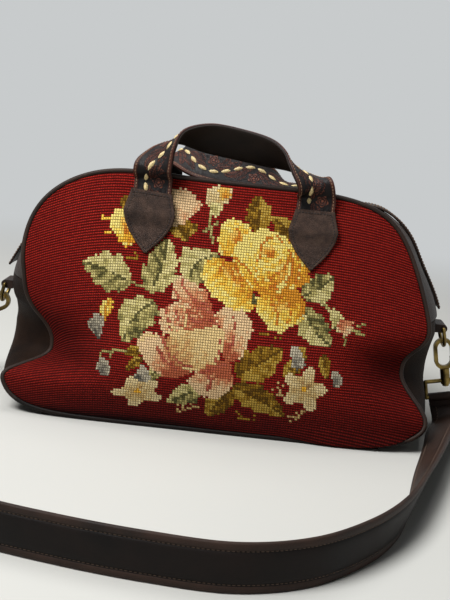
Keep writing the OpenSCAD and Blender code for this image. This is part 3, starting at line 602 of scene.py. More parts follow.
def bouquet(c):
    """A garden-rose bouquet in the manner of old wool work. Outlines and lines are x, y, x, y and so on."""
    petal, lines, star = c.petal, c.lines, c.star
    for leaf in LEAVES:
        c.leaf(*leaf)
    lines("sage", 5, 0.45, 0, [604, 150, 604, 236, 614, 292], [270, 708, 206, 712, 146, 722, 138, 756],
          [206, 712, 186, 736], [276, 438, 344, 462, 384, 486], [1068, 548, 1040, 520], [1166, 628, 1214, 616],
          [1160, 640, 1216, 656], [1136, 660, 1140, 716], [604, 236, 574, 240], [606, 222, 634, 208])
    lines("white", 4, 0.3, 0.15, [452, 968, 508, 962, 562, 944], [474, 944, 508, 962], [520, 938, 548, 950],
          [470, 976, 508, 962], [896, 1018, 934, 996, 972, 962], [900, 992, 934, 996], [940, 968, 972, 962],
          [844, 868, 890, 848], [852, 892, 890, 884], [868, 838, 884, 896])
    lines("olive", 4, 0.55, 0.1, [700, 960, 726, 1002, 700, 1000], [726, 1002, 780, 1000, 772, 972],
          [800, 640, 846, 652, 880, 660], [300, 352, 268, 344], [300, 320, 320, 356])
    # buds and small flowers
    petal("pink", [428, 84, 482, 70, 542, 98, 574, 136, 548, 180, 494, 218, 430, 222], (700, 240), (486, 130))
    petal("yellow", [194, 204, 224, 162, 268, 166, 304, 212, 304, 296, 270, 306, 230, 272, 200, 242], (300, 300),
          (205, 190))
    petal("flame", [236, 196, 270, 206, 284, 262, 252, 252], (280, 260), (236, 200))
    lines("yellow", 5, 0.5, 0, [196, 206, 164, 196])
    lines("yellow", 4, 0.4, 0, [206, 250, 176, 252])
    petal("white", [578, 104, 598, 64, 668, 58, 692, 92, 664, 132, 622, 164, 590, 146], (640, 160), (600, 70))
    petal("flame", [634, 66, 672, 64, 678, 100, 652, 122, 636, 100], (660, 120), (640, 66))
    petal("sage", [592, 130, 632, 124, 668, 140, 632, 188, 600, 176], (600, 186), (640, 130))
    petal("grey", [110, 590, 135, 560, 166, 570, 172, 612, 155, 640, 135, 672, 104, 650, 86, 620], (110, 660),
          (160, 566))
    petal("grey", [122, 780, 142, 736, 172, 736, 186, 770, 192, 806, 160, 818, 128, 806], (130, 816), (176, 740))
    petal("sage", [1066, 556, 1108, 556, 1146, 596, 1126, 650, 1092, 636, 1074, 600], (1080, 640), (1110, 560))
    petal("pink", [1106, 590, 1150, 584, 1174, 640, 1142, 668, 1104, 642], (1110, 600), (1160, 660))
    petal("grey", [1084, 812, 1106, 792, 1142, 838, 1128, 872, 1098, 866], (1090, 870), (1120, 800))
    petal("grey", [306, 792, 334, 752, 364, 792, 358, 838, 318, 864, 292, 832], (300, 850), (350, 770))
    petal("grey", [906, 692, 936, 684, 966, 716, 980, 762, 958, 790, 926, 770], (930, 790), (930, 700))
    star("white", (318, 882), 106, 30, 0.68)
    star("white", (974, 868), 98, 3)
    # the yellow rose
    petal("yellow", [630, 290, 640, 236, 654, 196, 694, 184, 752, 214, 772, 250, 748, 300, 690, 330, 640, 334],
          (728, 312), (652, 196))
    petal("flame", [682, 244, 724, 232, 738, 266, 706, 290, 682, 276], (700, 290), (690, 236))
    petal("yellow", [564, 384, 590, 348, 644, 340, 704, 366, 748, 430, 778, 492, 778, 548, 722, 560, 662, 534, 602,
          492, 570, 434], (742, 430), (604, 540))
    petal("flame", [640, 372, 700, 386, 736, 438, 716, 462, 672, 428], (730, 450), (640, 376))
    petal("yellow", [690, 304, 748, 246, 826, 230, 904, 262, 956, 312, 990, 372, 1006, 396, 988, 446, 950, 480, 900,
          496, 830, 496, 776, 488, 742, 430, 698, 372], (850, 470), (740, 262))
    petal("yellow", [766, 276, 846, 248, 916, 286, 940, 346, 910, 412, 852, 452, 796, 424, 764, 352], (880, 440),
          (790, 262), 0.5)
    petal("flame", [796, 300, 846, 288, 872, 322, 846, 352, 804, 338], (840, 350), (806, 292))
    petal("flame", [884, 352, 918, 362, 914, 428, 884, 470, 842, 462, 872, 414], (880, 462), (900, 356))
    lines("yellow", 5, 0.97, 0, [775, 350, 740, 310, 760, 270, 800, 245])
    lines("yellow", 5, 0.95, 0, [780, 300, 838, 264, 902, 286, 932, 346, 912, 418, 866, 470])
    lines("yellow", 5, 0.97, 0, [890, 330, 920, 370, 910, 430, 870, 480])
    lines("yellow", 5, 0.95, 0, [940, 300, 970, 360, 950, 430, 920, 470], [790, 358, 836, 374, 874, 352, 882, 318])
    lines("yellow", 5, 0.97, 0, [800, 380, 840, 400, 890, 380])
    lines("yellow", 5, 0.8, 0, [756, 300, 748, 360, 790, 430])
    lines("flame", 4, 0.1, 0.1, [804, 294, 830, 268, 870, 264, 892, 292], [814, 322, 840, 332, 866, 320],
          [784, 362, 806, 330, 798, 298], [838, 470, 842, 420, 890, 400, 910, 360],
          [858, 474, 892, 450, 926, 410, 930, 360, 912, 308], [944, 330, 962, 392, 936, 452],
          [700, 344, 750, 388, 786, 452], [680, 372, 692, 414, 712, 452], [702, 372, 718, 420, 732, 462],
          [656, 364, 640, 392], [712, 232, 720, 262, 702, 292])
    petal("yellow", [778, 500, 830, 488, 902, 490, 964, 478, 976, 540, 964, 604, 904, 622, 876, 650, 838, 624, 798,
          592, 778, 542], (880, 500), (820, 606))
    petal("flame", [830, 516, 900, 506, 930, 540, 880, 556, 846, 552], (880, 512), (880, 556))
    lines("flame", 4, 0.2, 0.1, [840, 510, 868, 500, 902, 512], [850, 530, 870, 570, 864, 612],
          [910, 530, 920, 570, 908, 600])
    lines("sage", 6, 0.1, 0, [776, 492, 774, 548])
    # the pink rose
    petal("pink", [450, 462, 474, 426, 500, 416, 536, 440, 584, 470, 608, 532, 602, 566, 540, 546, 490, 524, 458,
          494], (560, 560), (480, 424))
    petal("pink", [398, 574, 430, 530, 482, 516, 544, 540, 606, 562, 640, 590, 574, 626, 500, 646, 438, 646, 404,
          612], (560, 606), (408, 596), 0.6)
    petal("pink", [612, 572, 660, 528, 722, 548, 774, 580, 768, 642, 742, 704, 702, 756, 656, 746, 648, 682, 650,
          622], (640, 670), (722, 612))
    petal("pink", [316, 654, 350, 632, 404, 638, 436, 692, 476, 752, 526, 782, 528, 806, 462, 830, 398, 804, 348, 762,
          322, 712], (474, 748), (386, 700))
    petal("shell", [414, 650, 500, 640, 572, 622, 652, 616, 660, 682, 642, 744, 602, 784, 540, 796, 480, 774, 438,
          722], (470, 760), (610, 650))
    petal("pink", [512, 836, 556, 784, 622, 762, 674, 742, 694, 792, 688, 862, 640, 908, 580, 900, 528, 866],
          (612, 786), (592, 866))
    lines("rose", 5, 0.4, 0.08, [440, 530, 430, 570, 450, 610], [470, 550, 482, 592],
          [512, 572, 546, 592, 602, 590, 634, 602], [520, 532, 580, 542, 610, 562],
          [492, 434, 506, 476, 548, 512, 602, 534], [416, 652, 442, 712, 484, 756, 536, 776],
          [652, 630, 646, 694, 622, 754], [694, 572, 704, 634, 684, 696], [590, 792, 606, 830, 594, 872],
          [396, 690, 420, 740, 470, 780], [566, 800, 610, 782, 660, 762], [462, 470, 480, 500])
    lines("shell", 4, 0.95, 0, [496, 536, 516, 572, 506, 612, 486, 630], [426, 640, 490, 634, 580, 624, 642, 608],
          [646, 604, 646, 662], [440, 600, 470, 626], [330, 668, 352, 646, 396, 650])


def row_drop(a):
    """How far the canvas rows hang below the level line: arched, dropping towards both sides."""
    left, right = np.maximum(0, -(a + 82)), np.maximum(0, a - 70)
    return 0.0016 * left**2 + 0.0007 * right**2


def creases(u, v):
    """Soft pulls in the cloth, in millimetres out of the panel."""
    left, right = np.clip(-u, 0, 1), np.clip(u, 0, 1)
    pull = -2.4 * hump(left, 0.72, 0.16, 0.2) * hump(v - 0.27 - 0.22 * (0.9 - left), 0, 0.03, 0.05)
    pull += 1.6 * hump(left, 0.7, 0.2, 0.2) * hump(v - 0.4 - 0.3 * (0.9 - left), 0, 0.04, 0.04)
    pull += 2.2 * left**3 * hump(v, 0.13, 0.05, 0.05)
    pull += -2.6 * right**3 * hump(v - 0.3 - 0.25 * (0.95 - right), 0, 0.04, 0.06)
    pull += 2.4 * hump(right, 0.66, 0.2, 0.22) * hump(v - 0.12 - 0.5 * (0.95 - right), 0, 0.05, 0.05)
    pull += -1.6 * hump(u + 0.15, 0, 0.5, 0.6) * hump(v - 0.93 - 0.04 * u, 0, 0.05, 0.04)
    pull += 0.9 * np.sin(9 * u + 5 * v) * np.sin(6.3 * v + 1.3 * u) * (1 - np.abs(u) ** 4)
    return pull * np.clip((1 - rim_share(u, v)) * 9, 0, 1)


def wear_and_painted_shade(u, v, motif):
    """Painted shade in the wool: darker in the side folds and towards the foot, with painted light on the top of the
    left lower lobe and a near-black painted shadow along the foot.
    """
    left = hump(v, 0.27, 0.1, 0.2) * ease((-u - 0.3) / 0.55)
    right = hump(v, 0.3, 0.1, 0.1) * ease((u - 0.5) / 0.45)
    tone = 1 - np.where(u < 0, 0.55 * left, 0.6 * right) - 0.66 * ease(1 - v / 0.3) * (1 - 0.7 * motif)
    # painted light on the top of the left lower lobe
    tone += 0.15 * hump(v, 0.13, 0.07, 0.06) * ease((-u - 0.3) / 0.5)
    # near-black painted shadow along the foot, strongest on the left and gone on the right
    return tone * (1 - 0.85 * ease(1 - v / 0.045) * ease((0.35 - u) / 0.6))


def centres(x):
    return (x[:-1, :-1] + x[1:, 1:]) / 2


def panel(back):
    """A needlepoint panel with one face to a stitch and a backing."""
    name, front = ("back", 0) if back else ("front", 1)
    i, j = np.meshgrid(np.arange(-CELLS_X, CELLS_X + 1), np.arange(-CELLS_Y, CELLS_Y + 1), indexing="ij")
    a = i * PITCH
    u, v = a / HALF_W, (j * PITCH + PANEL_LEN / 2 - front * row_drop(a)) / PANEL_LEN
    r = rim_share(u, v)
    k = np.maximum(r, 1)
    u, v = u / k, 0.5 + (v - 0.5) / k
    droop = front * ease(1 - v / 0.075) * ease((0.97 - u) / 0.12) * ease((u - 0.3) / 0.3)
    lift = creases(u, v)
    skins = [panel_off(u, v, back, lift - down) + droop[..., None] * DROOP for down in (0, PANEL_T * 0.8)]
    a, b = u * HALF_W, v * PANEL_LEN
    uv = np.stack([a, b - PANEL_LEN / 2 + front * row_drop(a)], -1) / PITCH
    canvas = Canvas(*np.einsum("kl,lij->kij", np.linalg.inv(DRAW), np.stack([centres(a), centres(b)])
                               - DRAW_AT[:, None, None]))
    if not back:
        bouquet(canvas)
    tone = 1 + (0.05 + 0.12 * canvas.motif) * (rng.random(canvas.motif.shape) - 0.5)
    # the wool colours are multiplied by painted shade: darker in the folds and towards the foot
    wool = canvas.colour * (tone * wear_and_painted_shade(centres(u), centres(v), canvas.motif))[..., None]
    live = r <= 1
    keep = live[:-1, :-1] | live[1:, :-1] | live[:-1, 1:] | live[1:, 1:]
    index = np.arange(r.size).reshape(r.shape)
    q = np.stack([index[:-1, :-1], index[1:, :-1], index[1:, 1:], index[:-1, 1:]], -1)[keep]
    used, new = np.unique(q[:, ::-1] if back else q, return_inverse=True)
    q, n = new.reshape(q.shape).tolist(), len(used)
    faces = [tuple(f) for f in q] + [tuple(x + n for x in f[::-1]) for f in q]
    edges = dict.fromkeys((x, y) for f in q for x, y in zip(f, f[1:] + f[:1]))
    faces += [(y, x, x + n, y + n) for x, y in edges if (y, x) not in edges]
    pts = np.concatenate([mirrored(skin.reshape(-1, 3)[used], back) for skin in skins])
    ob = build(name + "_cloth", pts, faces, M_NEEDLE, "needlepoint", name + "_panel")
    colour, motif = np.ones((len(faces), 4)), np.zeros(len(faces))
    colour[:, :3] = lin(*BACKING)
    colour[: len(q), :3] = wool[keep]
    motif[: len(q)] = canvas.motif[keep]
    mark(ob, "wool", "FACE", colour, "FLOAT_COLOR")
    mark(ob, "motif", "FACE", motif)
    loops = np.zeros(len(ob.data.loops), int)
    ob.data.loops.foreach_get("vertex_index", loops)
    flat = np.concatenate([uv.reshape(-1, 2)[used]] * 2)
    ob.data.uv_layers.new(name="stitch").data.foreach_set("uv", flat[loops].astype(np.float32).ravel())


panel(False)
panel(True)

# ---- leather shell ----
BASE_SHARE = 0.8 + 3 * CLEAR / HALF_W
FOOT_TURN = -math.degrees(math.atan((1 - BASE_SHARE**RIM_FOOT) ** (1 / RIM_FOOT) / BASE_SHARE))
ROUND_BEAD = np.radians(np.arange(14) * 360 / 14)[:, None, None]
PIPING_SHADE_Z = 14  # the piping is painted darker below this, as shade under the bag
TAB_FROM, TAB_TO, TAB_HALF = 58.0, 3.5, 14.0
GUSSET_GRID, STRIP_GRID, TAB_GRID, BEAD_STEPS = (90, 49), (150, 15), (60, 17), 520


def gusset(name, t0, t1):
    """A creased leather end. Its creases only go inwards."""
    t, q = np.meshgrid(np.linspace(t1, t0, GUSSET_GRID[0]), np.linspace(-1, 1, GUSSET_GRID[1]), indexing="ij")
    a = np.radians(t)
    wave = np.sin(a * 9 + 3 * q) * np.cos(2.4 * q + a * 4)
    dip = -1.6 * hump(np.cos(a * 11), 1, 0.5, 0.5) * (1 - q * q)
    lift = 1.1 * (wave + dip) * (1 - np.abs(q) ** 6)
    parts = shell_parts(gusset_off(t, q, np.minimum(lift, 0)), gusset_off(t, q, -LEATHER_T))
    build(name + "_leather", *parts, M_SHADED_GUSSET, "leather", name)


gusset("right_gusset", FOOT_TURN, 1.6)
gusset("left_gusset", 178.4, 180 - FOOT_TURN)

# strips beside the zip
for name, sign in (("front_top_strip", -1), ("back_top_strip", 1)):
    ts, s = np.linspace(178, 2, STRIP_GRID[0]), np.linspace(0, 1, STRIP_GRID[1])
    slot_q = ZIP_SLOT / 2 / np.abs(gusset_edge(ts, False)[:, 1])
    q = np.stack([mix(-1, -k, s) if sign < 0 else mix(k, 1, s) for k in slot_q])
    t = np.repeat(ts[:, None], len(s), 1)
    parts = shell_parts(gusset_off(t, q, 0), gusset_off(t, q, -LEATHER_T))
    build(name + "_leather", *parts, M_LEATHER, "leather", name)
    inner = gusset_off(ts, sign * (slot_q + 0.05), 0.1)
    inner = inner[np.abs(inner[:, 0]) < 150] + [0, sign * 1.6, 0]
    parts = stitch_parts(inner, np.repeat([[0.0, 0.0, 1.0]], len(inner), 0))
    build(name + "_stitches", *parts, M_DARK_THREAD, "leather")

for name, back in (("front_piping", False), ("back_piping", True)):
    ts = np.linspace(0, 360, 2881)
    far = rise(bead_point(ts, back))
    ts = np.interp(np.linspace(0, 1, BEAD_STEPS + 1)[:-1], far / far[-1], ts)
    _, n, out = seam(ts, back)
    rings = bead_point(ts, back) + BEAD_R * (np.cos(ROUND_BEAD) * n + np.sin(ROUND_BEAD) * out)
    rings = rings.transpose(1, 0, 2)
    pts, faces = tube_parts(mirrored(rings[:, ::-1] if back else rings, back), closed=True)
    ob = build(name + "_leather", pts, faces, M_LEATHER, "leather", name)
    # the piping's lowest part takes the near-black strap leather: painted shade under the bag's foot
    ob.data.materials.append(M_STRAP)
    ob.data.polygons.foreach_set("material_index", [int(pts[f[0]][2] < PIPING_SHADE_Z) for f in faces])

# leather tabs over the zip ends
for name, sign, curl in (("left_zip_tab", -1, 5.0), ("right_zip_tab", 1, 1.2)):
    ts = np.linspace(TAB_FROM, TAB_TO, TAB_GRID[0])
    lift = 3 * CLEAR + curl * (1 - (ts - TAB_TO) / (TAB_FROM - TAB_TO)) ** 6
    turn = ts if sign > 0 else 180 - ts
    s = sign * np.linspace(-1, 1, TAB_GRID[1])
    q = s[None] * (TAB_HALF / np.abs(gusset_edge(turn, False)[:, 1]))[:, None]
    t = np.repeat(turn[:, None], len(s), 1)
    top = gusset_off(t, q, lift[:, None] + LEATHER_T * (1 - 0.3 * np.abs(s) ** 8))
    low = gusset_off(t, q, lift[:, None])
    build(name + "_leather", *shell_parts(top, low), M_LEATHER, "leather", name)
    out = unit(top - low)
    rows = [stitch_parts(top[:, j] + 0.05 * out[:, j], out[:, j]) for j in (2, 14)]
    build(name + "_stitches", *joined(rows), M_THREAD, "leather")

# ---- belt handles ----
SEAT = 2 * CLEAR + LINING_T
FRONT_PEAK, BACK_PEAK = 46.0, 20.0
FRONT_PATH = [[-1, -1.28, 0.24], [-0.9, -1.08, 0.62], [-0.7, -0.88, 0.93], [-0.36, -0.72, 0.94], [0.02, -0.66, 0.86],
              [0.34, -0.7, 0.76], [0.58, -0.82, 0.62], [0.76, -1.04, 0.42], [0.92, -1.27, 0.2]]
FRONT_WAY = [[1, -0.1, 0], [0.72, -0.7, 0.1], [0.25, -0.9, 0.4], [0, -0.62, 0.78], [0, -0.58, 0.82],
             [-0.05, -0.64, 0.76], [-0.2, -0.8, 0.5], [-0.5, -0.8, 0.15], [-0.9, -0.3, 0]]
BACK_PATH = [[-1, 1.26, 0.15], [-0.94, 1.12, 0.7], [-0.8, 0.84, 1], [-0.5, 0.58, 0.72], [-0.1, 0.5, 0.48],
             [0.2, 0.5, 0.34], [0.46, 0.54, 0.12], [0.68, 0.72, -0.08], [0.86, 1, -0.1], [0.97, 1.24, -0.2]]
BACK_WAY = [[1, 0.1, 0], [0.75, 0.6, 0.1], [0.3, 0.8, 0.5], [0, 0.55, 0.83], [0, 0.5, 0.86], [0, 0.58, 0.8],
            [-0.05, 0.8, 0.55], [-0.2, 0.97, 0.1], [-0.6, 0.8, -0.05], [-0.95, 0.25, 0]]
LEG = ((CHAPE_TOP / 3, BEAD_R + SEAT), (CHAPE_TOP, SEAT), (CHAPE_TOP + BELT_HOLD, SEAT))  # down the panel, off it
LACE_WAVE, LACE_SWING, LACE_PITCH = 92.0, 7.4, 12.4
LACE = [(-5.2, 0.3), (-2.6, 1.7), (1.0, 2.2), (3.6, 1.3), (5.2, -0.3), (2.6, -1.7), (-1.0, -2.2), (-3.6, -1.3)]
# carved leaves beside a rosette: shift along the belt, offset across it, lean, half length, half width
CARVED = ((13, 2.2, 0.9, 9.5, 4.2), (23, 1.0, 0.35, 9.0, 3.6), (33, 6.4, 0.2, 7.0, 2.8), (8, 10.2, 0.1, 6.0, 2.2))
BORDER = 14.6  # half width of the carved field
BELT_WALK, BELT_STEPS, BELT_ACROSS = 1200, 470, 57


def leg_end(x, down, off, back):
    """A place on a handle's leg, and the way across it there."""
    u, v = x / HALF_W, 1 - down / PANEL_LEN
    d = unit(panel_point(u + 0.004, v, back) - panel_point(u - 0.004, v, back))
    return mirrored(panel_off(u, v, back, off), back), (1 if x < 0 else -1) * mirrored(d, back)


def belt_path(back):
    peak, shares, ways = (BACK_PEAK, BACK_PATH, BACK_WAY) if back else (FRONT_PEAK, FRONT_PATH, FRONT_WAY)
    places = [[SHIFT + p[0] * LEG_X, p[1] * TOP_DEPTH / 2, TOP_Z + p[2] * peak] for p in shares]
    for leg in LEG:
        (left, left_way), (right, right_way) = (leg_end(x, *leg, back) for x in (SHIFT - LEG_X, SHIFT + LEG_X))
        places, ways = [left, *places, right], [left_way, *ways, right_way]
    return places, ways


def carving(s, w):
    """Relief of the tooled belt: rosettes and lobed leaves beside the lacing's meander, on a stippled ground."""
    relief = 0.12 + 0.12 * np.sin(s * 5.1) * np.sin(w * 5.3)
    for turn in (-1, 1):
        k = np.round(s / LACE_WAVE - 0.25 * turn)
        ds, dw = s - (k + 0.25 * turn) * LACE_WAVE, (w + turn * 5.4) * turn
        for shift, off, lean, long, wide in CARVED:
            for hand in (-1, 1):
                px, py = ds - hand * shift, dw + 1.4 - off
                c, n = math.cos(lean), -hand * math.sin(lean)
                x, y = px * c + py * n, py * c - px * n
                y = y + 0.03 * x * x * hand
                lobes = 0.8 + 0.2 * np.abs(np.sin(x * 1.1))
                half = wide * lobes * np.clip(1 - (x / long) ** 2, 0, 1) ** 0.7
                leaf = np.where(np.abs(y) < 0.45, 0.12, 0.62 + 0.34 * np.sin(x * 3.2 - np.abs(y) * 2.4))
                leaf = np.where(half - np.abs(y) < 0.6, 0.95, leaf)
                relief = np.where(half > np.abs(y), leaf, np.where(half > np.abs(y) - 0.7, 0.0, relief))
        r, a = np.hypot(ds, dw), np.arctan2(dw, ds)
        edge = 5.6 * (1 + 0.18 * np.cos(5 * a))
        bloom = np.where(edge - r < 0.7, 1.0, 0.6 - 0.45 * (np.cos(5 * a + np.pi) > 0.85) + 0.35 * np.sin(r * 2.6))
        bloom = np.where(r < 1.4, 1.0, bloom)
        relief = np.where(r < edge, bloom, np.where(r < edge + 0.8, 0.0, relief))
    relief = np.where(np.abs(w) > BORDER, 0.72, relief)
    return np.where(np.abs(np.abs(w) - BORDER) < 0.5, 0.0, relief)


def ribbon(c, w, n, across, up):
    """Points across a strip, raised from its middle layer."""
    return c[:, None] + across[None, :, None] * w[:, None] + np.asarray(up)[..., None] * n[:, None]


def belt(back):
    label = "back_handle" if back else "front_handle"
    keep, c, w, n = even_frame(*belt_path(back), BELT_WALK, BELT_STEPS)
    n = -n if back else n
    half, end = BELT_W / 2, keep[-1]
    across = np.r_[-half, np.linspace(-half + 0.35, half - 0.35, BELT_ACROSS), half]
    relief = carving(keep[:, None] - end / 2, across[None])
    high = BELT_T - 0.5 * (1 - relief) - 0.7 * (np.abs(across) > half - 0.2)
    parts = shell_parts(ribbon(c, w, n, across, high), ribbon(c, w, n, across, 0), flip=not back)
    ob = build(label + "_belt", *parts, M_TOOLED, "tooled_leather", label)
    value = np.full(len(parts[0]), 0.2)
    value[: relief.size] = (relief if back else relief[:, ::-1]).ravel()
    mark(ob, "relief", "POINT", value)
    # plain lining
    strip = c[::4], w[::4], n[::4]
    q = np.r_[-half, np.linspace(-half + 0.5, half - 0.5, 12), half]
    dip = np.where(np.abs(q) > half - 0.2, 0.4, 0)
    parts = shell_parts(ribbon(*strip, q, -0.02), ribbon(*strip, q, dip - LINING_T), flip=not back)
    build(label + "_lining_leather", *parts, M_LINING, "leather", label + "_lining")
    # edge stitching
    on = (keep > BELT_HOLD) & (keep < end - BELT_HOLD)
    edges = [(c + e * (half - 2.4) * w + (BELT_T - 0.1) * n)[on] for e in (-1, 1)]
    rows = [stitch_parts(edge, n[on], 3.2, wide=0.9) for edge in edges]
    build(label + "_stitches", *joined(rows), M_THREAD, "tooled_leather")

    # rawhide lacing in a meander
    def on_belt(x, y, up):
        f = [np.array([np.interp(end / 2 + x, keep, g[:, m]) for m in range(3)]) for g in (c, w, n)]
        return f[0] + y * f[1] + (BELT_T + up) * unit(f[2])

    parts, m = [], len(LACE)
    faces = [(i, (i + 1) % m, m + (i + 1) % m, m + i) for i in range(m)]
    faces += [(m + i, m + (i + 1) % m, 2 * m) for i in range(m)]
    span = end - 2 * BELT_HOLD - 12
    for d in np.arange(-span / 2, span / 2, LACE_PITCH):
        turn = 2 * math.pi / LACE_WAVE
        y0, slope = LACE_SWING * math.sin(turn * d), LACE_SWING * turn * math.cos(turn * d)
        tx, ty = 1 / math.hypot(1, slope), slope / math.hypot(1, slope)
        p = [on_belt(d + k * (tx * a - ty * b), y0 + k * (ty * a + tx * b), up)
             for k, up in ((1, -0.2), (0.6, 0.75)) for a, b in LACE]
        parts.append((np.array(p + [on_belt(d, y0, 0.95)]), [q if back else q[::-1] for q in faces]))
    build(label + "_lacing", *joined(parts), M_LACE, "tooled_leather")


belt(False)
belt(True)

# ---- sewn end pieces ----
# share of the length, share of the half width
CHAPE = np.array([[0, 0.8], [0.1, 0.84], [0.36, 1], [0.5, 0.93], [0.68, 0.7], [0.84, 0.4], [0.95, 0.16], [1, 0.06]])
SEWN_IN = 3.3 * 1.25  # stitches from the edge
CHAPE_GRID = 60, 41


def chape(label, x, back):
    over = SEAT + BELT_T + 2 * CLEAR

    def half(p):
        return np.interp(p, CHAPE[:, 0], CHAPE[:, 1]) * CHAPE_W / 2

    def place(p, q, off):
        lift = mix(over, CLEAR, ease((p - (BELT_HOLD + 2 * BELT_T) / CHAPE_L) / 0.26))
        u, v = (x + q * half(p)) / HALF_W, 1 - (CHAPE_TOP + p * CHAPE_L) / PANEL_LEN
        return mirrored(panel_off(u, v, back, lift + off), back)

    p, q = np.meshgrid(np.linspace(0, 1, CHAPE_GRID[0]), np.linspace(-1, 1, CHAPE_GRID[1]), indexing="ij")
    edge = np.minimum(np.minimum(p, 1 - p) * CHAPE_L, (1 - np.abs(q)) * half(p))
    high = BELT_T - 0.9 * np.clip(1 - edge / 1.3, 0, 1) ** 2 - 0.6 * hump(edge, 3.6, 0.8, 1.2)
    parts = shell_parts(place(p, q, high), place(p, q, 0), flip=not back)
    build(label + "_leather", *parts, M_SUEDE, "suede", label)
    ps = np.linspace(0.055, 0.93, 60)
    qs = np.clip(1 - SEWN_IN / half(ps), 0, 1)
    pp = np.r_[ps, ps[::-1], np.full(16, ps[0])]
    qq = np.r_[qs, -qs[::-1], np.linspace(-qs[0], qs[0], 16)]
    path = place(pp, qq, BELT_T - 0.25)
    parts = stitch_parts(path, unit(path - place(pp, qq, 0)), 3.0, 2.0, 1.3, 0.4)
    build(label + "_stitches", *parts, M_BLACK_THREAD, "suede")


for face in ("front", "back"):
    chape(face + "_left_chape", SHIFT - LEG_X, face == "back")
    chape(face + "_right_chape", SHIFT + LEG_X, face == "back")

# ---- shoulder strap ----
RING_X, RING_Z, RING_LONG, RING_TURN = 235.636, 110.0, 21, math.radians(14)
WIRE_X, WIRE_Z = RING_X + RING_LONG * math.sin(RING_TURN), RING_Z - RING_LONG * math.cos(RING_TURN)
HOOK_WIRE, STRAP_BAR, END_LONG = 2.9, -55.3, 10  # heights on a hook, and the folded end below its bar
HOOK_TURN = {-1: math.radians(62), 1: math.radians(12)}
LOW = STRAP_W / 2 + CLEAR
ROUTE = [[256, -16, 12.5], [244, -44, 13.5], [230, -92, 15.5], [208, -164, 17.5], [186, -236, 19], [165, -290, LOW],
         [136, -334, LOW], [92, -374, LOW], [38, -394, LOW], [-24, -392, LOW], [-90, -382, LOW], [-154, -366, LOW],
         [-214, -338, LOW], [-266, -298, LOW], [-306, -244, LOW], [-332, -180, LOW], [-342, -115, LOW],
         [-339, -58, 22], [-326, -16, 38]]
WAYS = [[0.95, 0, 0.34], [0.85, 0, 0.53], [0.72, 0, 0.7], [0.6, 0, 0.8], [0.36, 0.1, 0.92], [0.2, 0.1, 0.97],
        [0.05, 0, 1]] + [[0, 0, 1]] * 10 + [[-0.05, 0, 1], [-0.2, 0, 0.97]]
# the strap's section: a padded face between two stitched grooves, and a flat back
FACE = [(-19, 0.2), (-18.6, 1.2), (-17.6, 1.75), (-15, 1.8), (-13.4, 1.5), (-12.6, 0.7), (-11.9, 1.3), (-11, 1.9),
        (-8, 2.35), (-4, 2.5)]
FACE = FACE + [(0, 2.5)] + [(-x, y) for x, y in FACE[::-1]]
BACK = [(18.7, -1.4), (17.6, -2.1), (12, -2.3), (0, -2.45), (-12, -2.3), (-17.6, -2.1), (-18.7, -1.4)]
GROOVE = 12.6
STRAP_WALK, STRAP_STEPS = 1600, 420


def hook_place(sign, p):
    a, z = HOOK_TURN[sign], p[2] - HOOK_WIRE
    return np.array([sign * (WIRE_X + p[0] * math.cos(a) - z * math.sin(a)), p[1],
                     WIRE_Z + z * math.cos(a) + p[0] * math.sin(a)])


def strap_end(sign):
    p, o = hook_place(sign, (0, 0, STRAP_BAR - END_LONG - CLEAR)), hook_place(sign, (0, 0, 0))
    way = hook_place(sign, (1, 0, 0)) - o
    return p, way, np.cross(way, sign * unit(p - o))


def strap():
    first, last = strap_end(1), strap_end(-1)
    keep, c, w, d = even_frame([first[0], *ROUTE, last[0]], [first[1], *WAYS, last[1]],
                              STRAP_WALK, STRAP_STEPS)
    # the ends meet the folded strap ends squarely
    for square, far, reach in ((first, keep, 7.5), (last, keep[-1] - keep, 14.0)):
        near, k = far < reach, np.argmin(np.abs(far - reach))
        for field, start in zip((c, w, d), square):
            field[near] = mix(start, field[k], far[near, None] / reach)
    w, d = unit(w), unit(d)
    section = np.array(FACE + BACK)
    rings = c[:, None] + section[None, :, :1] * w[:, None] + section[None, :, 1:] * d[:, None]
    ob = build("strap_leather", *tube_parts(rings), M_STRAP, "leather", "shoulder_strap")
    ob.data.materials.append(M_STRAP_IN)
    m, k = len(section), len(FACE)
    inner = {0, 1, 2, 3, *range(k - 5, m)}
    ob.data.polygons.foreach_set("material_index", [int(f % m in inner) for f in range((len(c) - 1) * m)] + [0, 0])
    rows = [stitch_parts(c + e * GROOVE * w + 0.75 * d, d, 3.4, 2.4, 0.9, 0.5) for e in (-1, 1)]
    rows += [stitch_parts(c + e * GROOVE * w - 2.3 * d, -d, 3.4, 2.4, 0.8, 0.35) for e in (-1, 1)]
    seams = build("strap_stitches", *joined(rows), M_DARK_THREAD, "leather")
    ob.data.update()


strap()

# ---- CAD nodes that are shown as they are ----
PLAIN = {
    M_LEATHER: ["base_panel", "left_ring_loop", "right_ring_loop"],
    M_TAPE: ["front_zip_tape", "back_zip_tape"],
    M_BRASS: ["zip_chain", "zip_slider", "zip_slider_under", "zip_pull"],
    M_BLACK: ["left_gate", "right_gate"],
    M_STRAP_IN: ["left_strap_end", "right_strap_end"],
}
for side in ("left", "right"):
    PLAIN[M_BRASS] += [side + part for part in ("_d_ring", "_hook", "_gate_pin", "_swivel_eye")]
for mat, names in PLAIN.items():
    for name in names:
        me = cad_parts[name].data
        me.materials.clear()
        me.materials.append(mat)

# ---- stage, light and camera ----
SURROUND = rgba(200, 203, 204)
FLOOR_HALF, FLOOR_Z = 9, -0.00005
AIM = Vector((0, -0.1, 0.1))
EYE_FAR, EYE_Y, EYE_Z = 850, -100, 330.0


def seen(tree):
    """One for the rays that show the surround: straight to the camera, or by way of metal."""
    ray = add(tree, "LightPath").node.outputs
    direct = math_node(tree, "MAXIMUM", ray["Is Camera Ray"], ray["Is Glossy Ray"])
    return math_node(tree, "MAXIMUM", direct, ray["Is Transmission Ray"])


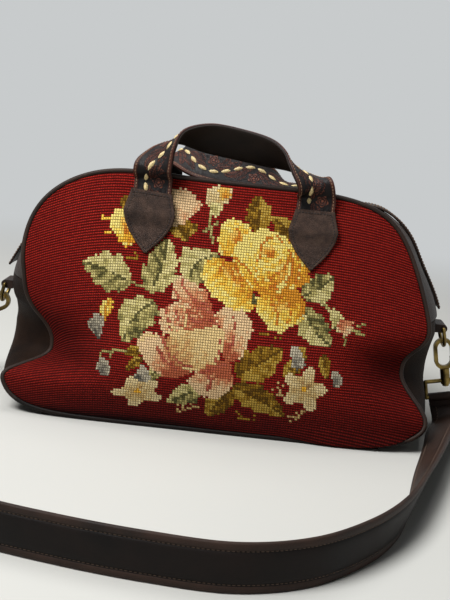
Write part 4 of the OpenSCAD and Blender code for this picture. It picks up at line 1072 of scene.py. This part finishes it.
def backdrop():
    """An open pale floor that fades into the surround."""
    mat, t, b, co = material("backdrop")
    finish(t, b, ramp(t, noise(t, co, 1.6, 3.0), (0.3, (210, 209, 203)), (0.7, (206, 206, 201))), 0.9)
    far = add(t, "VectorMath", {"operation": "LENGTH"}, "Value", i0=co)
    fade = times(t, smooth_step(t, far, From_Min=0.5, From_Max=1.35), seen(t))
    both = add(t, "MixShader", i0=fade, i1=b.outputs[0], i2=add(t, "Emission", Color=SURROUND))
    put(t, t.nodes["Material Output"].inputs[0], both)
    me = bpy.data.meshes.new("backdrop")
    corners = ((-1, -1), (1, -1), (1, 1), (-1, 1))
    me.from_pydata([(FLOOR_HALF * x, FLOOR_HALF * y, FLOOR_Z) for x, y in corners], [], [(0, 1, 2, 3)])
    me.materials.append(mat)
    placed("backdrop", me)


def lamp(name, place, size, power):
    light = bpy.data.lights.new(name, "AREA")
    light.shape, light.size, light.energy = "DISK", size, power
    turn = (Vector(place) - AIM).to_track_quat("Z", "Y").to_matrix().to_4x4()
    placed(name, light).matrix_world = Matrix.Translation(place) @ turn


backdrop()
lamp("key", (-0.8, -0.85, 1.75), 0.9, 42)
lamp("top", (-0.1, 0.3, 1.9), 1.2, 14)
world = bpy.data.worlds.new("studio")
world.use_nodes = True
sky = world.node_tree
put(sky, sky.nodes["Background"].inputs[0], SURROUND)
put(sky, sky.nodes["Background"].inputs[1], times(sky, seen(sky), 0.9, 0.1))
scene.world = world

yaw, heading, pitch, roll = (math.radians(k) for k in (2.0, 1.7, 12.8, 5.5))
eye = Vector((EYE_FAR * math.sin(yaw), EYE_Y - EYE_FAR * math.cos(yaw), EYE_Z)) * MM
cam = bpy.data.cameras.new("camera")
cam.lens, cam.sensor_width, cam.clip_start, cam.clip_end = 54.0, 36.0, 0.01, 50.0
scene.camera = placed("camera", cam)
turn = Matrix.Rotation(heading, 4, "Z") @ Matrix.Rotation(math.pi / 2 - pitch, 4, "X") @ Matrix.Rotation(roll, 4, "Z")
scene.camera.matrix_world = Matrix.Translation(eye) @ turn
scene.view_settings.view_transform = "Standard"
